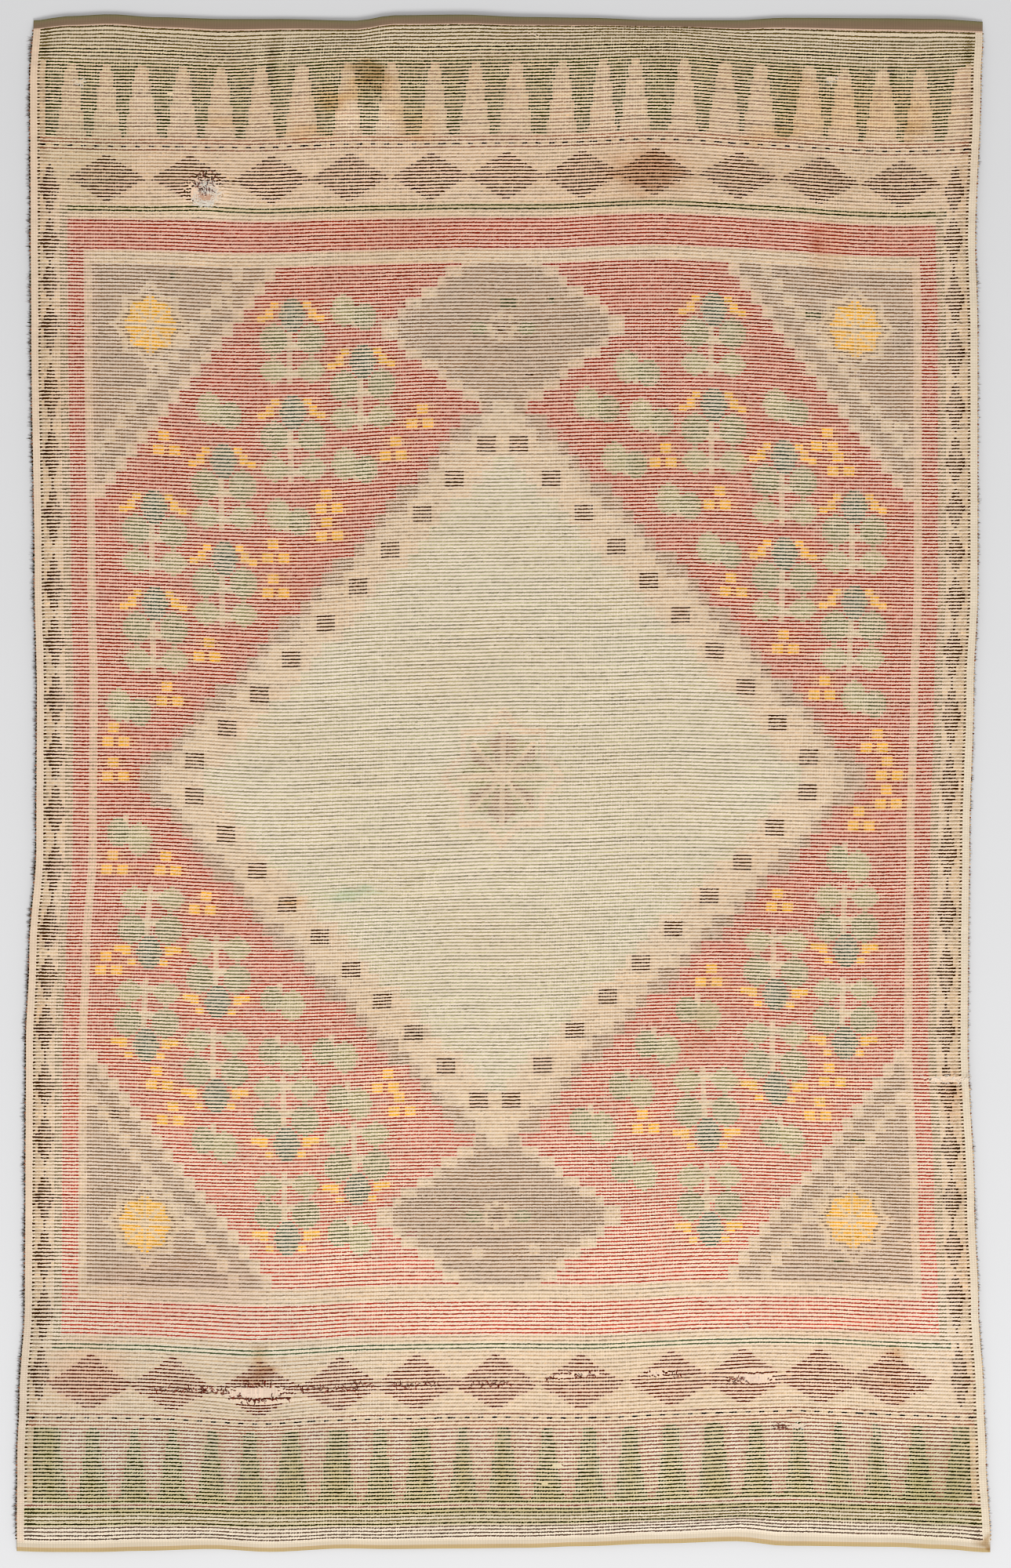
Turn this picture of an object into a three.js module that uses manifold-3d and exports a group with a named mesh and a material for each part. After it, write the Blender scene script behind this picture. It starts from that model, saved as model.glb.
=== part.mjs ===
// A knotted-pile rya rug, lying with its pile underneath and its woven back up.
// Sizes are in millimetres and +Z is up. The rug's length runs along Y, its head end is
// towards +Y, and the origin is in the middle of the surface that the pile rests on.
// It is two solids: the woven ground with its end bands and selvedges, and the wool pile
// that is knotted into it, a lumpy slab with locks of wool standing out at its rim.

import * as THREE from "three";
import { mergeVertices } from "three/addons/utils/BufferGeometryUtils.js";
import Module from "manifold-3d";

const manifold = await Module();
manifold.setup();

// Driving sizes
const RUG_LENGTH = 2622;
const CLOTH_THICKNESS = { knotted: 3, edge: 2.2 };
const PILE_DEPTH = 10;
const GAP = 0.3;

// How far the pile stops inside the cloth's edge: a plain selvedge, and a woven end band
const SELVEDGE = 8;
const END_BAND = 20;

// How far the cloth's edge sinks where less pile carries it, and how far in that reaches
const DROOP = { side: { fall: 2.5, reach: 26 }, end: { fall: 4, reach: 45 } };

// The long edges, in mm from the middle line, by share of the way from head to foot
const SIDES = [
  { down: 0.0, left: 802, right: 823 },
  { down: 0.04, left: 808, right: 819 },
  { down: 0.14, left: 807, right: 810 },
  { down: 0.2, left: 806, right: 814 },
  { down: 0.37, left: 800, right: 814 },
  { down: 0.44, left: 796, right: 807 },
  { down: 0.54, left: 797, right: 800 },
  { down: 0.61, left: 809, right: 798 },
  { down: 0.67, left: 815, right: 797 },
  { down: 0.77, left: 816, right: 808 },
  { down: 0.84, left: 817, right: 815 },
  { down: 0.9, left: 826, right: 824 },
  { down: 0.94, left: 830, right: 828 },
  { down: 1.0, left: 831, right: 836 },
];

// The ends, in mm beyond half the length, by share of the way from left to right
const ENDS = [
  { across: 0.0, head: -3, foot: 3 },
  { across: 0.04, head: 4, foot: 4 },
  { across: 0.08, head: 7, foot: 4 },
  { across: 0.13, head: 2, foot: 2 },
  { across: 0.2, head: -1, foot: -1 },
  { across: 0.26, head: -1, foot: 4 },
  { across: 0.34, head: -4, foot: -2 },
  { across: 0.38, head: 5, foot: -1 },
  { across: 0.45, head: 6, foot: -2 },
  { across: 0.52, head: 2, foot: -3 },
  { across: 0.58, head: 1, foot: -6 },
  { across: 0.66, head: -3, foot: -11 },
  { across: 0.74, head: -3, foot: -15 },
  { across: 0.79, head: 1, foot: -7 },
  { across: 0.9, head: 0, foot: -5 },
  { across: 0.95, head: -1, foot: -1 },
  { across: 1.0, head: -5, foot: 5 },
];

// Soft rises and troughs in the lying cloth: middle, half length, half width, turn, rise
const RIPPLES = [
  { place: "round the frayed hole", x: -508, y: 1018, long: 90, wide: 60, turn: 0, rise: 3 },
  { place: "left mend", x: -417, y: -1032, long: 110, wide: 60, turn: 0, rise: 2.5 },
  { place: "right mend", x: 430, y: -1015, long: 130, wide: 60, turn: 0, rise: 2.5 },
  { place: "middle, ridge", x: -121, y: -148, long: 190, wide: 75, turn: 35, rise: 2.5 },
  { place: "middle, trough", x: -215, y: -240, long: 170, wide: 70, turn: 25, rise: -2 },
  { place: "below the middle", x: -190, y: -430, long: 190, wide: 75, turn: 18, rise: 2.5 },
  { place: "above the middle", x: 120, y: 330, long: 330, wide: 110, turn: -12, rise: 1.5 },
  { place: "upper left quarter", x: -480, y: 560, long: 260, wide: 120, turn: 40, rise: 1.5 },
  { place: "upper right quarter", x: 470, y: 720, long: 280, wide: 130, turn: -35, rise: -1.5 },
  { place: "lower right quarter", x: 500, y: -560, long: 280, wide: 120, turn: 30, rise: 1.5 },
  { place: "nick by the right edge", x: 770, y: -500, long: 100, wide: 60, turn: 0, rise: 2 },
  { place: "left edge, drawn in", x: -800, y: 60, long: 340, wide: 80, turn: 90, rise: 2.5 },
  { place: "right edge, hollow", x: 800, y: -250, long: 280, wide: 80, turn: 90, rise: -1.5 },
  { place: "head, left", x: -400, y: 1290, long: 110, wide: 90, turn: 0, rise: -1.5 },
  { place: "head, middle", x: -60, y: 1300, long: 170, wide: 90, turn: 0, rise: 2 },
  { place: "head, right", x: 330, y: 1290, long: 170, wide: 90, turn: 0, rise: -1.5 },
  { place: "foot, left", x: -400, y: -1290, long: 150, wide: 90, turn: 0, rise: -1.5 },
  { place: "foot, drawn in", x: 390, y: -1280, long: 210, wide: 110, turn: 0, rise: 2.5 },
];

// The grid that both solids share, so that their facing sides run parallel
const CELLS_ACROSS = 22;
const CELLS_DOWN = 34;
const RIM_CELL = 28;

// The pile's underside: shallow hollows between lumps, and a pressed flat place mid-rug
const LUMP = { pitchX: 250, pitchY: 220, hollow: 4.5, level: 0.1, flatRadius: 230 };

// The pile's rim swells out under the cloth's edge
const RIM = { swell: 4, foot: 1, uneven: 1.5, height: 0.75 };

// Locks of wool at the rim: how many on each side and how far past the cloth they reach
const LOCK_SIDES = [
  { side: "left", count: 60, reach: 6 },
  { side: "right", count: 60, reach: 2 },
  { side: "head", count: 36, reach: -5 },
  { side: "foot", count: 36, reach: -5 },
];
const LOCK = {
  rootInside: 14,
  rootWidth: 26,
  rootHeight: 5,
  tipWidth: 8,
  tipHeight: 2,
  uneven: 2,
  lean: 7,
  cornerClear: 0.012,
};

const mix = (a, b, share) => a + (b - a) * share;
const smooth = (share) => share * share * (3 - 2 * share);
const clamp = (share) => Math.min(1, Math.max(0, share));

// A repeatable unevenness between -1 and 1
function uneven(number) {
  const wave = Math.sin(number * 12.9898) * 43758.5453;
  return 2 * (wave - Math.floor(wave)) - 1;
}

// A table's column at a share of the way along its stations, on a smooth curve
function columnAt(table, stations, column, share) {
  const last = table.length - 2;
  let row = 0;
  while (row < last && share > table[row + 1][stations]) {
    row += 1;
  }
  const [from, to] = [table[row], table[row + 1]];
  const part = (share - from[stations]) / (to[stations] - from[stations]);
  return mix(from[column], to[column], smooth(clamp(part)));
}

// The plan of the cloth: a share across from the left and a share down from the head
function planPoint(across, down) {
  const left = columnAt(SIDES, "down", "left", down);
  const right = columnAt(SIDES, "down", "right", down);
  const head = RUG_LENGTH / 2 + columnAt(ENDS, "across", "head", across);
  const foot = -RUG_LENGTH / 2 - columnAt(ENDS, "across", "foot", across);
  return { x: mix(-left, right, across), y: mix(head, foot, down), width: left + right };
}

// How far the ripples lift the cloth at a place
function rippleRise(x, y) {
  let rise = 0;
  for (const ripple of RIPPLES) {
    const turn = THREE.MathUtils.degToRad(ripple.turn);
    const dx = x - ripple.x;
    const dy = y - ripple.y;
    const along = (dx * Math.cos(turn) + dy * Math.sin(turn)) / ripple.long;
    const aside = (dy * Math.cos(turn) - dx * Math.sin(turn)) / ripple.wide;
    rise += ripple.rise * Math.exp(-(along * along) - aside * aside);
  }
  return rise;
}

function droopAt(distance, { fall, reach }) {
  return fall * (1 - smooth(clamp(distance / reach)));
}

// A point on the underside of the cloth
function undersidePoint(across, down) {
  const { x, y, width } = planPoint(across, down);
  const toSide = Math.min(across, 1 - across) * width;
  const toEnd = Math.min(down, 1 - down) * RUG_LENGTH;
  const droop = droopAt(toSide, DROOP.side) + droopAt(toEnd, DROOP.end);
  return new THREE.Vector3(x, y, PILE_DEPTH + rippleRise(x, y) - droop);
}

// Shares from edge to edge: the edge, the pile's rim, one narrow cell, then even cells
function gridShares(extent, rimInset, cells) {
  const rim = rimInset / extent;
  const inner = (rimInset + RIM_CELL) / extent;
  const even = Array.from({ length: cells + 1 }, (_, i) => mix(inner, 1 - inner, i / cells));
  return [0, rim, ...even, 1 - rim, 1];
}

const MEAN_WIDTH = 1630;
const SHARES_ACROSS = gridShares(MEAN_WIDTH, SELVEDGE, CELLS_ACROSS);
const SHARES_DOWN = gridShares(RUG_LENGTH, END_BAND, CELLS_DOWN);

const clothUnderside = SHARES_DOWN.map((down) =>
  SHARES_ACROSS.map((across) => undersidePoint(across, down)),
);

const moved = (grid, dz) => grid.map((row) => row.map((p) => new THREE.Vector3(p.x, p.y, p.z + dz)));

// The points round the edge of a grid, counter-clockwise from the head's left corner
function rimOf(grid) {
  const last = grid.length - 1;
  const end = grid[0].length - 1;
  const left = grid.slice(0, last).map((row) => row[0]);
  const foot = grid[last].slice(0, end);
  const right = grid.slice(1).map((row) => row[end]).reverse();
  const head = grid[0].slice(1).reverse();
  return [...left, ...foot, ...right, ...head];
}

// A closed solid between an upper and a lower grid, with rings of points down its wall
function solidBetween(upper, lower, wallRings = []) {
  const corners = [];
  const quad = (a, b, c, d) => corners.push(a, b, c, a, c, d);
  for (let j = 0; j < upper.length - 1; j += 1) {
    for (let i = 0; i < upper[0].length - 1; i += 1) {
      quad(upper[j][i], upper[j + 1][i], upper[j + 1][i + 1], upper[j][i + 1]);
      quad(lower[j][i], lower[j][i + 1], lower[j + 1][i + 1], lower[j + 1][i]);
    }
  }
  const rings = [rimOf(upper), ...wallRings, rimOf(lower)];
  for (let k = 0; k < rings.length - 1; k += 1) {
    const [top, bottom] = [rings[k], rings[k + 1]];
    for (let i = 0; i < top.length; i += 1) {
      const next = (i + 1) % top.length;
      quad(top[i], bottom[i], bottom[next], top[next]);
    }
  }
  return mergeVertices(new THREE.BufferGeometry().setFromPoints(corners), 1e-4);
}

// The knotted cloth, which thins to the plain weave of its outermost threads
function groundGeometry() {
  const lastRow = clothUnderside.length - 1;
  const lastColumn = clothUnderside[0].length - 1;
  const upper = moved(clothUnderside, CLOTH_THICKNESS.knotted);
  upper.forEach((row, j) =>
    row.forEach((point, i) => {
      if (j === 0 || i === 0 || j === lastRow || i === lastColumn) {
        point.z -= CLOTH_THICKNESS.knotted - CLOTH_THICKNESS.edge;
      }
    }),
  );
  return solidBetween(upper, clothUnderside);
}

// The height of the pile's underside: level with the floor on the lumps and mid-rug
function lumpHeight(x, y) {
  const waves = Math.sin((x / LUMP.pitchX) * 2 * Math.PI + y / LUMP.pitchY);
  const cross = Math.sin((y / LUMP.pitchY) * 2 * Math.PI - x / LUMP.pitchX);
  const hollow = clamp(((waves + cross) / 2 - LUMP.level) / (1 - LUMP.level));
  const fromMiddle = Math.hypot(x, y) / LUMP.flatRadius;
  return LUMP.hollow * hollow * smooth(clamp(fromMiddle - 1));
}

// A ring of the pile's wall, swollen outwards from the rim of a grid
function swollenRing(rim, swell, heightOf) {
  return rim.map((point, i) => {
    const out = swell + RIM.uneven * uneven(i + swell);
    const x = point.x + out * Math.sign(point.x) * (isSide(rim, i) ? 1 : 0);
    const y = point.y + out * Math.sign(point.y) * (isEnd(rim, i) ? 1 : 0);
    return new THREE.Vector3(x, y, heightOf(point));
  });
}

// Whether a rim point lies on a long side, and whether it lies on an end
const RIM_DOWN = SHARES_DOWN.length - 3;
const RIM_ACROSS = SHARES_ACROSS.length - 3;
const isSide = (rim, i) =>
  i <= RIM_DOWN || (i >= RIM_DOWN + RIM_ACROSS && i <= 2 * RIM_DOWN + RIM_ACROSS);
const isEnd = (rim, i) =>
  i === 0 || (i >= RIM_DOWN && i <= RIM_DOWN + RIM_ACROSS) || i >= 2 * RIM_DOWN + RIM_ACROSS;

function pileSlab() {
  const inner = clothUnderside.slice(1, -1).map((row) => row.slice(1, -1));
  const upper = moved(inner, -GAP);
  const lower = upper.map((row) => row.map((p) => new THREE.Vector3(p.x, p.y, lumpHeight(p.x, p.y))));
  const rim = rimOf(upper);
  const belly = swollenRing(rim, RIM.swell, (point) => point.z * RIM.height);
  const foot = swollenRing(rim, RIM.foot, () => 0);
  const last = lower.length - 1;
  const end = lower[0].length - 1;
  const footAt = new Map(rimOf(lower).map((point, i) => [point, foot[i]]));
  const grounded = lower.map((row, j) =>
    row.map((p, i) => (j === 0 || i === 0 || j === last || i === end ? footAt.get(p) : p)),
  );
  return solidBetween(upper, grounded, [belly]);
}

// A three-sided lock of wool lying level on the floor, from its root out to its tip
function lockGeometry(root, tip, rootWidth) {
  const run = new THREE.Vector3().subVectors(tip, root).normalize();
  const aside = new THREE.Vector3(-run.y, run.x, 0);
  const section = (middle, width, height) => [
    middle.clone().addScaledVector(aside, width / 2),
    middle.clone().addScaledVector(aside, -width / 2),
    new THREE.Vector3(middle.x, middle.y, height),
  ];
  const [a, b, c] = section(root, rootWidth, LOCK.rootHeight);
  const [d, e, f] = section(tip, LOCK.tipWidth, LOCK.tipHeight);
  const corners = [a, b, c, d, f, e, a, d, e, a, e, b, b, e, f, b, f, c, c, f, d, c, d, a];
  return mergeVertices(new THREE.BufferGeometry().setFromPoints(corners), 1e-4);
}

// The place on the cloth's edge, and the way out from it, for a share along a side
function edgePlace(side, share) {
  const places = {
    left: [planPoint(0, share), -1, 0, SELVEDGE],
    right: [planPoint(1, share), 1, 0, SELVEDGE],
    head: [planPoint(share, 0), 0, 1, END_BAND],
    foot: [planPoint(share, 1), 0, -1, END_BAND],
  };
  return places[side];
}

// All the locks along one side, each a little different from the next
function locksAlong({ side, count, reach }, sideNumber) {
  return Array.from({ length: count }, (_, i) => {
    const seed = 100 * sideNumber + i;
    const share = mix(LOCK.cornerClear, 1 - LOCK.cornerClear, (i + 0.5) / count);
    const [edge, outX, outY, inset] = edgePlace(side, share);
    const out = reach + LOCK.uneven * uneven(seed);
    const lean = LOCK.lean * uneven(seed + 0.5);
    const back = inset + LOCK.rootInside;
    const root = new THREE.Vector3(edge.x - back * outX, edge.y - back * outY, 0);
    const tip = new THREE.Vector3(
      edge.x + out * outX + lean * outY,
      edge.y + out * outY + lean * outX,
      0,
    );
    return lockGeometry(root, tip, LOCK.rootWidth * (1 + 0.1 * uneven(seed + 0.25)));
  });
}

function toManifold(geometry) {
  const mesh = new manifold.Mesh({
    numProp: 3,
    vertProperties: new Float32Array(geometry.attributes.position.array),
    triVerts: new Uint32Array(geometry.index.array),
  });
  return new manifold.Manifold(mesh);
}

function fromManifold(solid) {
  const mesh = solid.getMesh();
  const geometry = new THREE.BufferGeometry();
  geometry.setAttribute("position", new THREE.BufferAttribute(mesh.vertProperties, 3));
  geometry.setIndex(new THREE.BufferAttribute(mesh.triVerts, 1));
  return geometry;
}

function pileGeometry() {
  const locks = LOCK_SIDES.flatMap(locksAlong);
  const solid = locks.reduce((sum, lock) => sum.add(toManifold(lock)), toManifold(pileSlab()));
  return fromManifold(solid);
}

// A woollen surface has no sheen of its own and isn't a metal
function wool(colour) {
  return new THREE.MeshStandardMaterial({ color: colour, roughness: 0.95, metalness: 0 });
}

function namedMesh(name, geometry, material) {
  geometry.computeVertexNormals();
  const mesh = new THREE.Mesh(geometry, material);
  mesh.name = name;
  return mesh;
}

const rug = new THREE.Group();
rug.add(namedMesh("ground", groundGeometry(), wool(0xd9c4a6)));
rug.add(namedMesh("pile", pileGeometry(), wool(0x6b5145)));

// The origin goes to the middle of the whole rug's plan
const middle = new THREE.Box3().setFromObject(rug).getCenter(new THREE.Vector3());
rug.position.set(-middle.x, -middle.y, 0);

export default rug;
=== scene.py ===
# A rya rug, lying with its wool pile underneath and its woven back up.
#
# Sizes are in millimetres in the rug's own plan: x runs across from its middle line, y along
# its length towards the head end, and z up from the surface that the pile rests on. Meshes
# are in metres: placed() turns one into the other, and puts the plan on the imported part.

import math

import bpy
import numpy as np
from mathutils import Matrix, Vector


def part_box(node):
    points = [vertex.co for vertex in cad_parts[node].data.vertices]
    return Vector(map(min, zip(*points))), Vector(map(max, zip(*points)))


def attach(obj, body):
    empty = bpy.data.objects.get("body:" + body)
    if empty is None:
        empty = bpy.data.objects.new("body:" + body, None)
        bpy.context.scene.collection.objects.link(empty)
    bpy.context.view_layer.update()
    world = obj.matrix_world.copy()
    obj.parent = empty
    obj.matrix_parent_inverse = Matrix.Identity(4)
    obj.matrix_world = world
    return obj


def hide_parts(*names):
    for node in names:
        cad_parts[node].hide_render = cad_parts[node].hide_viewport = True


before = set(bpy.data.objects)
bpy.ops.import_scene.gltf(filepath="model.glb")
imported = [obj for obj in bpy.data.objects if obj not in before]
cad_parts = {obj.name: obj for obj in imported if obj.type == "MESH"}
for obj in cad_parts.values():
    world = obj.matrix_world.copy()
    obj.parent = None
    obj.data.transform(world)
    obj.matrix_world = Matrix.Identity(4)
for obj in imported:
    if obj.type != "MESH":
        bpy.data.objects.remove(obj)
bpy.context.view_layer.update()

MM = 0.001
BODY = "root"


def table(columns, *rows):
    """Rows of values under the names of their columns."""
    return [dict(zip(columns.split(), row)) for row in rows]


def column(rows, name):
    return np.array([row[name] for row in rows], float)


# The cloth's own sizes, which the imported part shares
RUG_LENGTH = 2622
MEAN_WIDTH = 1630
PILE_DEPTH = 10
GAP = 0.3
SELVEDGE = 8
END_BAND = 20
SIDE_DROOP = {"fall": 2.5, "reach": 26}
END_DROOP = {"fall": 4, "reach": 45}

# The long edges, from the middle line, by share of the way from head to foot
SIDES = table(
    "down left right",
    (0.0, 802, 823),
    (0.04, 808, 819),
    (0.14, 807, 810),
    (0.2, 806, 814),
    (0.37, 800, 814),
    (0.44, 796, 807),
    (0.54, 797, 800),
    (0.61, 809, 798),
    (0.67, 815, 797),
    (0.77, 816, 808),
    (0.84, 817, 815),
    (0.9, 826, 824),
    (0.94, 830, 828),
    (1.0, 831, 836),
)

# The ends, beyond half the length, by share of the way from left to right
ENDS = table(
    "across head foot",
    (0.0, -3, 3),
    (0.04, 4, 4),
    (0.08, 7, 4),
    (0.13, 2, 2),
    (0.2, -1, -1),
    (0.26, -1, 4),
    (0.34, -4, -2),
    (0.38, 5, -1),
    (0.45, 6, -2),
    (0.52, 2, -3),
    (0.58, 1, -6),
    (0.66, -3, -11),
    (0.74, -3, -15),
    (0.79, 1, -7),
    (0.9, 0, -5),
    (0.95, -1, -1),
    (1.0, -5, 5),
)

# How far in from an end, as a share of the length, its own unevenness dies out
END_REACH = 0.03

# How far in from an end the rows of knots wander in full
WANDER_REACH = 30

# Soft rises and troughs in the lying cloth: middle, half length, half width, turn, rise
RIPPLES = table(
    "x y long wide turn rise",
    (-508, 1018, 90, 60, 0, 3),
    (-417, -1032, 110, 60, 0, 2.5),
    (430, -1015, 130, 60, 0, 2.5),
    (-121, -148, 190, 75, 35, 2.5),
    (-215, -240, 170, 70, 25, -2),
    (-190, -430, 190, 75, 18, 2.5),
    (120, 330, 330, 110, -12, 1.5),
    (-480, 560, 260, 120, 40, 1.5),
    (470, 720, 280, 130, -35, -1.5),
    (500, -560, 280, 120, 30, 1.5),
    (770, -500, 100, 60, 0, 2),
    (-800, 60, 340, 80, 90, 2.5),
    (800, -250, 280, 80, 90, -1.5),
    (-400, 1290, 110, 90, 0, -1.5),
    (-60, 1300, 170, 90, 0, 2),
    (330, 1290, 170, 90, 0, -1.5),
    (-400, -1290, 150, 90, 0, -1.5),
    (390, -1280, 210, 110, 0, 2.5),
)

# Narrower creases and folds that show on the woven back alone
CREASES = table(
    "x y long wide turn rise",
    (-235, -200, 60, 9, 2, -1.6),
    (-215, -186, 55, 10, 4, 1.2),
    (-125, -150, 85, 16, 36, 1.8),
    (-60, -175, 70, 14, 30, -1.2),
    (-255, -425, 100, 14, 14, 1.5),
    (-120, -395, 70, 12, 24, -1.0),
    (-30, 155, 230, 12, 3, 0.7),
    (90, 90, 180, 14, -4, -0.7),
    (770, -500, 62, 5, -2, 1.4),
    (765, -512, 60, 7, 0, -1.2),
    (-395, 1225, 70, 16, 80, 1.2),
    (430, -1262, 120, 14, 4, 1.4),
    (250, -1240, 60, 14, -20, 1.2),
    (-660, -1180, 90, 15, 15, 1.2),
    (655, 1190, 70, 15, 70, 1.0),
)

# How the knot rows wander: sideways length of a wave, its length along the rug, its start
WANDER = table(
    "rise long along start",
    (0.9, 640, 1500, 0.4),
    (0.5, 270, -1100, 1.9),
    (0.16, 118, 420, 4.1),
    (0.06, 64, -230, 2.2),
)

# Rows that part round an opening: middle, half length, how wide it gapes, how far that reaches
OPENINGS = table(
    "x y long gape reach",
    (-419, -1041, 62, 13, 26),
    (431, -1016, 44, 8, 24),
    (506, -1099, 16, 4, 12),
    (765, -505, 48, 3, 14),
    (104, -1013, 22, 3.4, 12),
    (266, -1009, 30, 3.6, 12),
)

# Rows that are drawn up into a bow: middle, half length, how far, and how far that reaches
BOWS = table(
    "x y long rise above below",
    (-508, 1012, 52, 4.6, 24, 42),
    (-250, -180, 80, 2.5, 40, 40),
    (-140, -150, 70, -2.0, 40, 50),
    (-390, -350, 195, -11, 2600, 750),
    (-440, -1010, 120, -6, 110, 100),
    (-640, 1150, 190, -4, 250, 180),
    (-490, 1240, 80, -4, 200, 70),
    (-290, 1200, 110, 3, 200, 150),
    (270, 900, 140, 5.5, 2000, 900),
    (370, -600, 170, 5.5, 1000, 2000),
    (700, 1000, 245, -14, 900, 550),
    (520, -1180, 210, 9, 330, 110),
)

# Worn places without knots: middle, half length, half width, turn
WORN = table(
    "x y long wide turn",
    (-509, 1017, 30, 23, -8),
    (-419, -1041, 58, 10.5, 1),
    (431, -1016, 40, 8.5, 0),
    (506, -1099, 12, 5, 0),
    (562, 1206, 9, 4, 20),
    (-722, 1201, 9, 4, 0),
    (-566, 1181, 6, 4, 0),
    (765, -505, 40, 2.6, 0),
    (-493, -1038, 18, 2.6, -6),
    (60, 1282, 12, 2.2, 0),
    (96, -1168, 10, 3.5, 0),
    (74, -1196, 7, 3, 0),
    (100, -1013, 13, 3.6, 4),
    (146, -1010, 30, 2.1, 0),
    (266, -1009, 22, 3.8, 2),
)

# Stains and faded places, and the painted shade of one crease: middle, half length, half width, turn, and
# what each colour keeps
STAINS_AND_CREASE_SHADE = table(
    "x y long wide turn red green blue",
    (-294, 1169, 28, 22, 0, 0.98, 0.86, 0.68),
    (-290, 1166, 14, 9, 0, 0.86, 0.8, 0.72),
    (-339, 1114, 44, 14, 0, 1.0, 0.9, 0.76),
    (-473, 1132, 26, 15, 0, 0.97, 0.9, 0.8),
    (-185, 1150, 20, 22, 0, 0.98, 0.91, 0.79),
    (-141, 1128, 32, 25, 20, 0.98, 0.9, 0.78),
    (-159, 1106, 48, 6, 0, 0.92, 0.82, 0.7),
    (-255, 1232, 26, 10, 0, 0.86, 0.74, 0.58),
    (-259, 1184, 11, 24, -14, 0.97, 0.86, 0.68),
    (-194, 1192, 10, 20, 10, 0.97, 0.88, 0.74),
    (-222, 1212, 34, 19, 0, 0.7, 0.58, 0.4),
    (-222, 1182, 26, 12, 0, 0.84, 0.8, 0.7),
    (-238, 1140, 58, 27, 0, 1.12, 1.15, 1.2),
    (538, 927, 36, 13, 90, 0.88, 0.72, 0.66),
    (560, 905, 60, 30, 90, 0.97, 0.9, 0.84),
    (668, -972, 15, 12, 90, 0.84, 0.66, 0.5),
    (668, -1022, 40, 13, 90, 0.86, 0.74, 0.66),
    (-640, -1030, 430, 240, 0, 0.88, 0.92, 0.95),
    (-413, -990, 22, 12, 90, 0.86, 0.74, 0.6),
    (-413, -1014, 14, 22, 90, 0.75, 0.6, 0.5),
    # This one lies along the crease near -235, -200 and is painted shade of that crease, darker and
    # greener.
    (-255, -188, 48, 11, 4, 0.78, 0.93, 0.86),
    (618, 1153, 140, 50, 0, 0.99, 0.93, 0.82),
    (505, 1198, 26, 22, 60, 0.96, 0.9, 0.8),
    (705, 1130, 34, 14, 80, 0.88, 0.78, 0.62),
    (470, 1112, 60, 14, 10, 0.97, 0.88, 0.74),
    (-356, -204, 13, 11, 0, 1.0, 0.8, 0.56),
    (249, 1048, 60, 34, 0, 0.84, 0.7, 0.6),
    (240, 1050, 100, 56, 0, 0.97, 0.93, 0.9),
    (-508, 1010, 40, 32, 0, 1.1, 1.1, 1.1),
    (-300, 900, 220, 90, 10, 0.99, 0.97, 0.95),
    (640, -860, 220, 110, 30, 0.99, 0.96, 0.95),
    (-560, -870, 160, 70, 0, 0.99, 0.9, 0.88),
    (-710, -1000, 70, 60, 0, 1.0, 0.9, 0.86),
    (770, -540, 60, 16, 90, 0.94, 0.84, 0.78),
    (-762, 640, 180, 14, 90, 0.96, 0.92, 0.86),
    (340, -420, 90, 24, 70, 0.95, 0.9, 0.86),
    (190, 640, 70, 18, 80, 0.96, 0.92, 0.9),
    (824, -1302, 15, 11, 30, 0.62, 0.5, 0.36),
    (-712, 1075, 75, 85, 0, 0.9, 0.94, 0.9),
    (538, 1042, 270, 36, 0, 0.92, 0.92, 0.9),
    (735, -1205, 62, 85, 0, 0.84, 0.87, 0.78),
    (330, -1196, 220, 95, 0, 1.05, 1.07, 1.12),
    (745, -930, 60, 110, 0, 1.02, 1.05, 1.1),
)


def smooth(share):
    share = np.clip(share, 0, 1)
    return share * share * (3 - 2 * share)


def column_at(rows, stations, name, share):
    """A table's column at shares of the way along its stations, on a smooth curve."""
    at = column(rows, stations)
    values = column(rows, name)
    share = np.asarray(share, float)
    i = np.clip(np.searchsorted(at, share) - 1, 0, len(at) - 2)
    part = (share - at[i]) / (at[i + 1] - at[i])
    return values[i] + (values[i + 1] - values[i]) * smooth(part)


def plan(across, down):
    """The cloth's plan: a share across from the left and a share down from the head."""
    left = column_at(SIDES, "down", "left", down)
    right = column_at(SIDES, "down", "right", down)
    head = column_at(ENDS, "across", "head", across) * (1 - smooth(down / END_REACH))
    foot = column_at(ENDS, "across", "foot", across) * (1 - smooth((1 - down) / END_REACH))
    return (left + right) * across - left, RUG_LENGTH * (0.5 - down) + head - foot


def nearness(spot, x, y):
    """1 at the middle of a spot of a table, and falling away softly round it."""
    turn = math.radians(spot["turn"])
    dx = x - spot["x"]
    dy = y - spot["y"]
    along = (dx * math.cos(turn) + dy * math.sin(turn)) / spot["long"]
    aside = (dy * math.cos(turn) - dx * math.sin(turn)) / spot["wide"]
    return np.exp(-along * along - aside * aside)


def lift(rows, x, y):
    return sum(row["rise"] * nearness(row, x, y) for row in rows)


def droop(distance, edge):
    return edge["fall"] * (1 - smooth(distance / edge["reach"]))


def from_sides(across):
    return np.minimum(across, 1 - across) * MEAN_WIDTH


def from_ends(down):
    return np.minimum(down, 1 - down) * RUG_LENGTH


def rippled(x, y):
    """The height of the cloth's underside where no edge draws it down."""
    return PILE_DEPTH + lift(RIPPLES, x, y) + lift(CREASES, x, y)


def underside(x, y, across, down):
    """The height of the cloth's underside."""
    sunk = droop(from_sides(across), SIDE_DROOP) + droop(from_ends(down), END_DROOP)
    return rippled(x, y) - sunk


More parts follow.
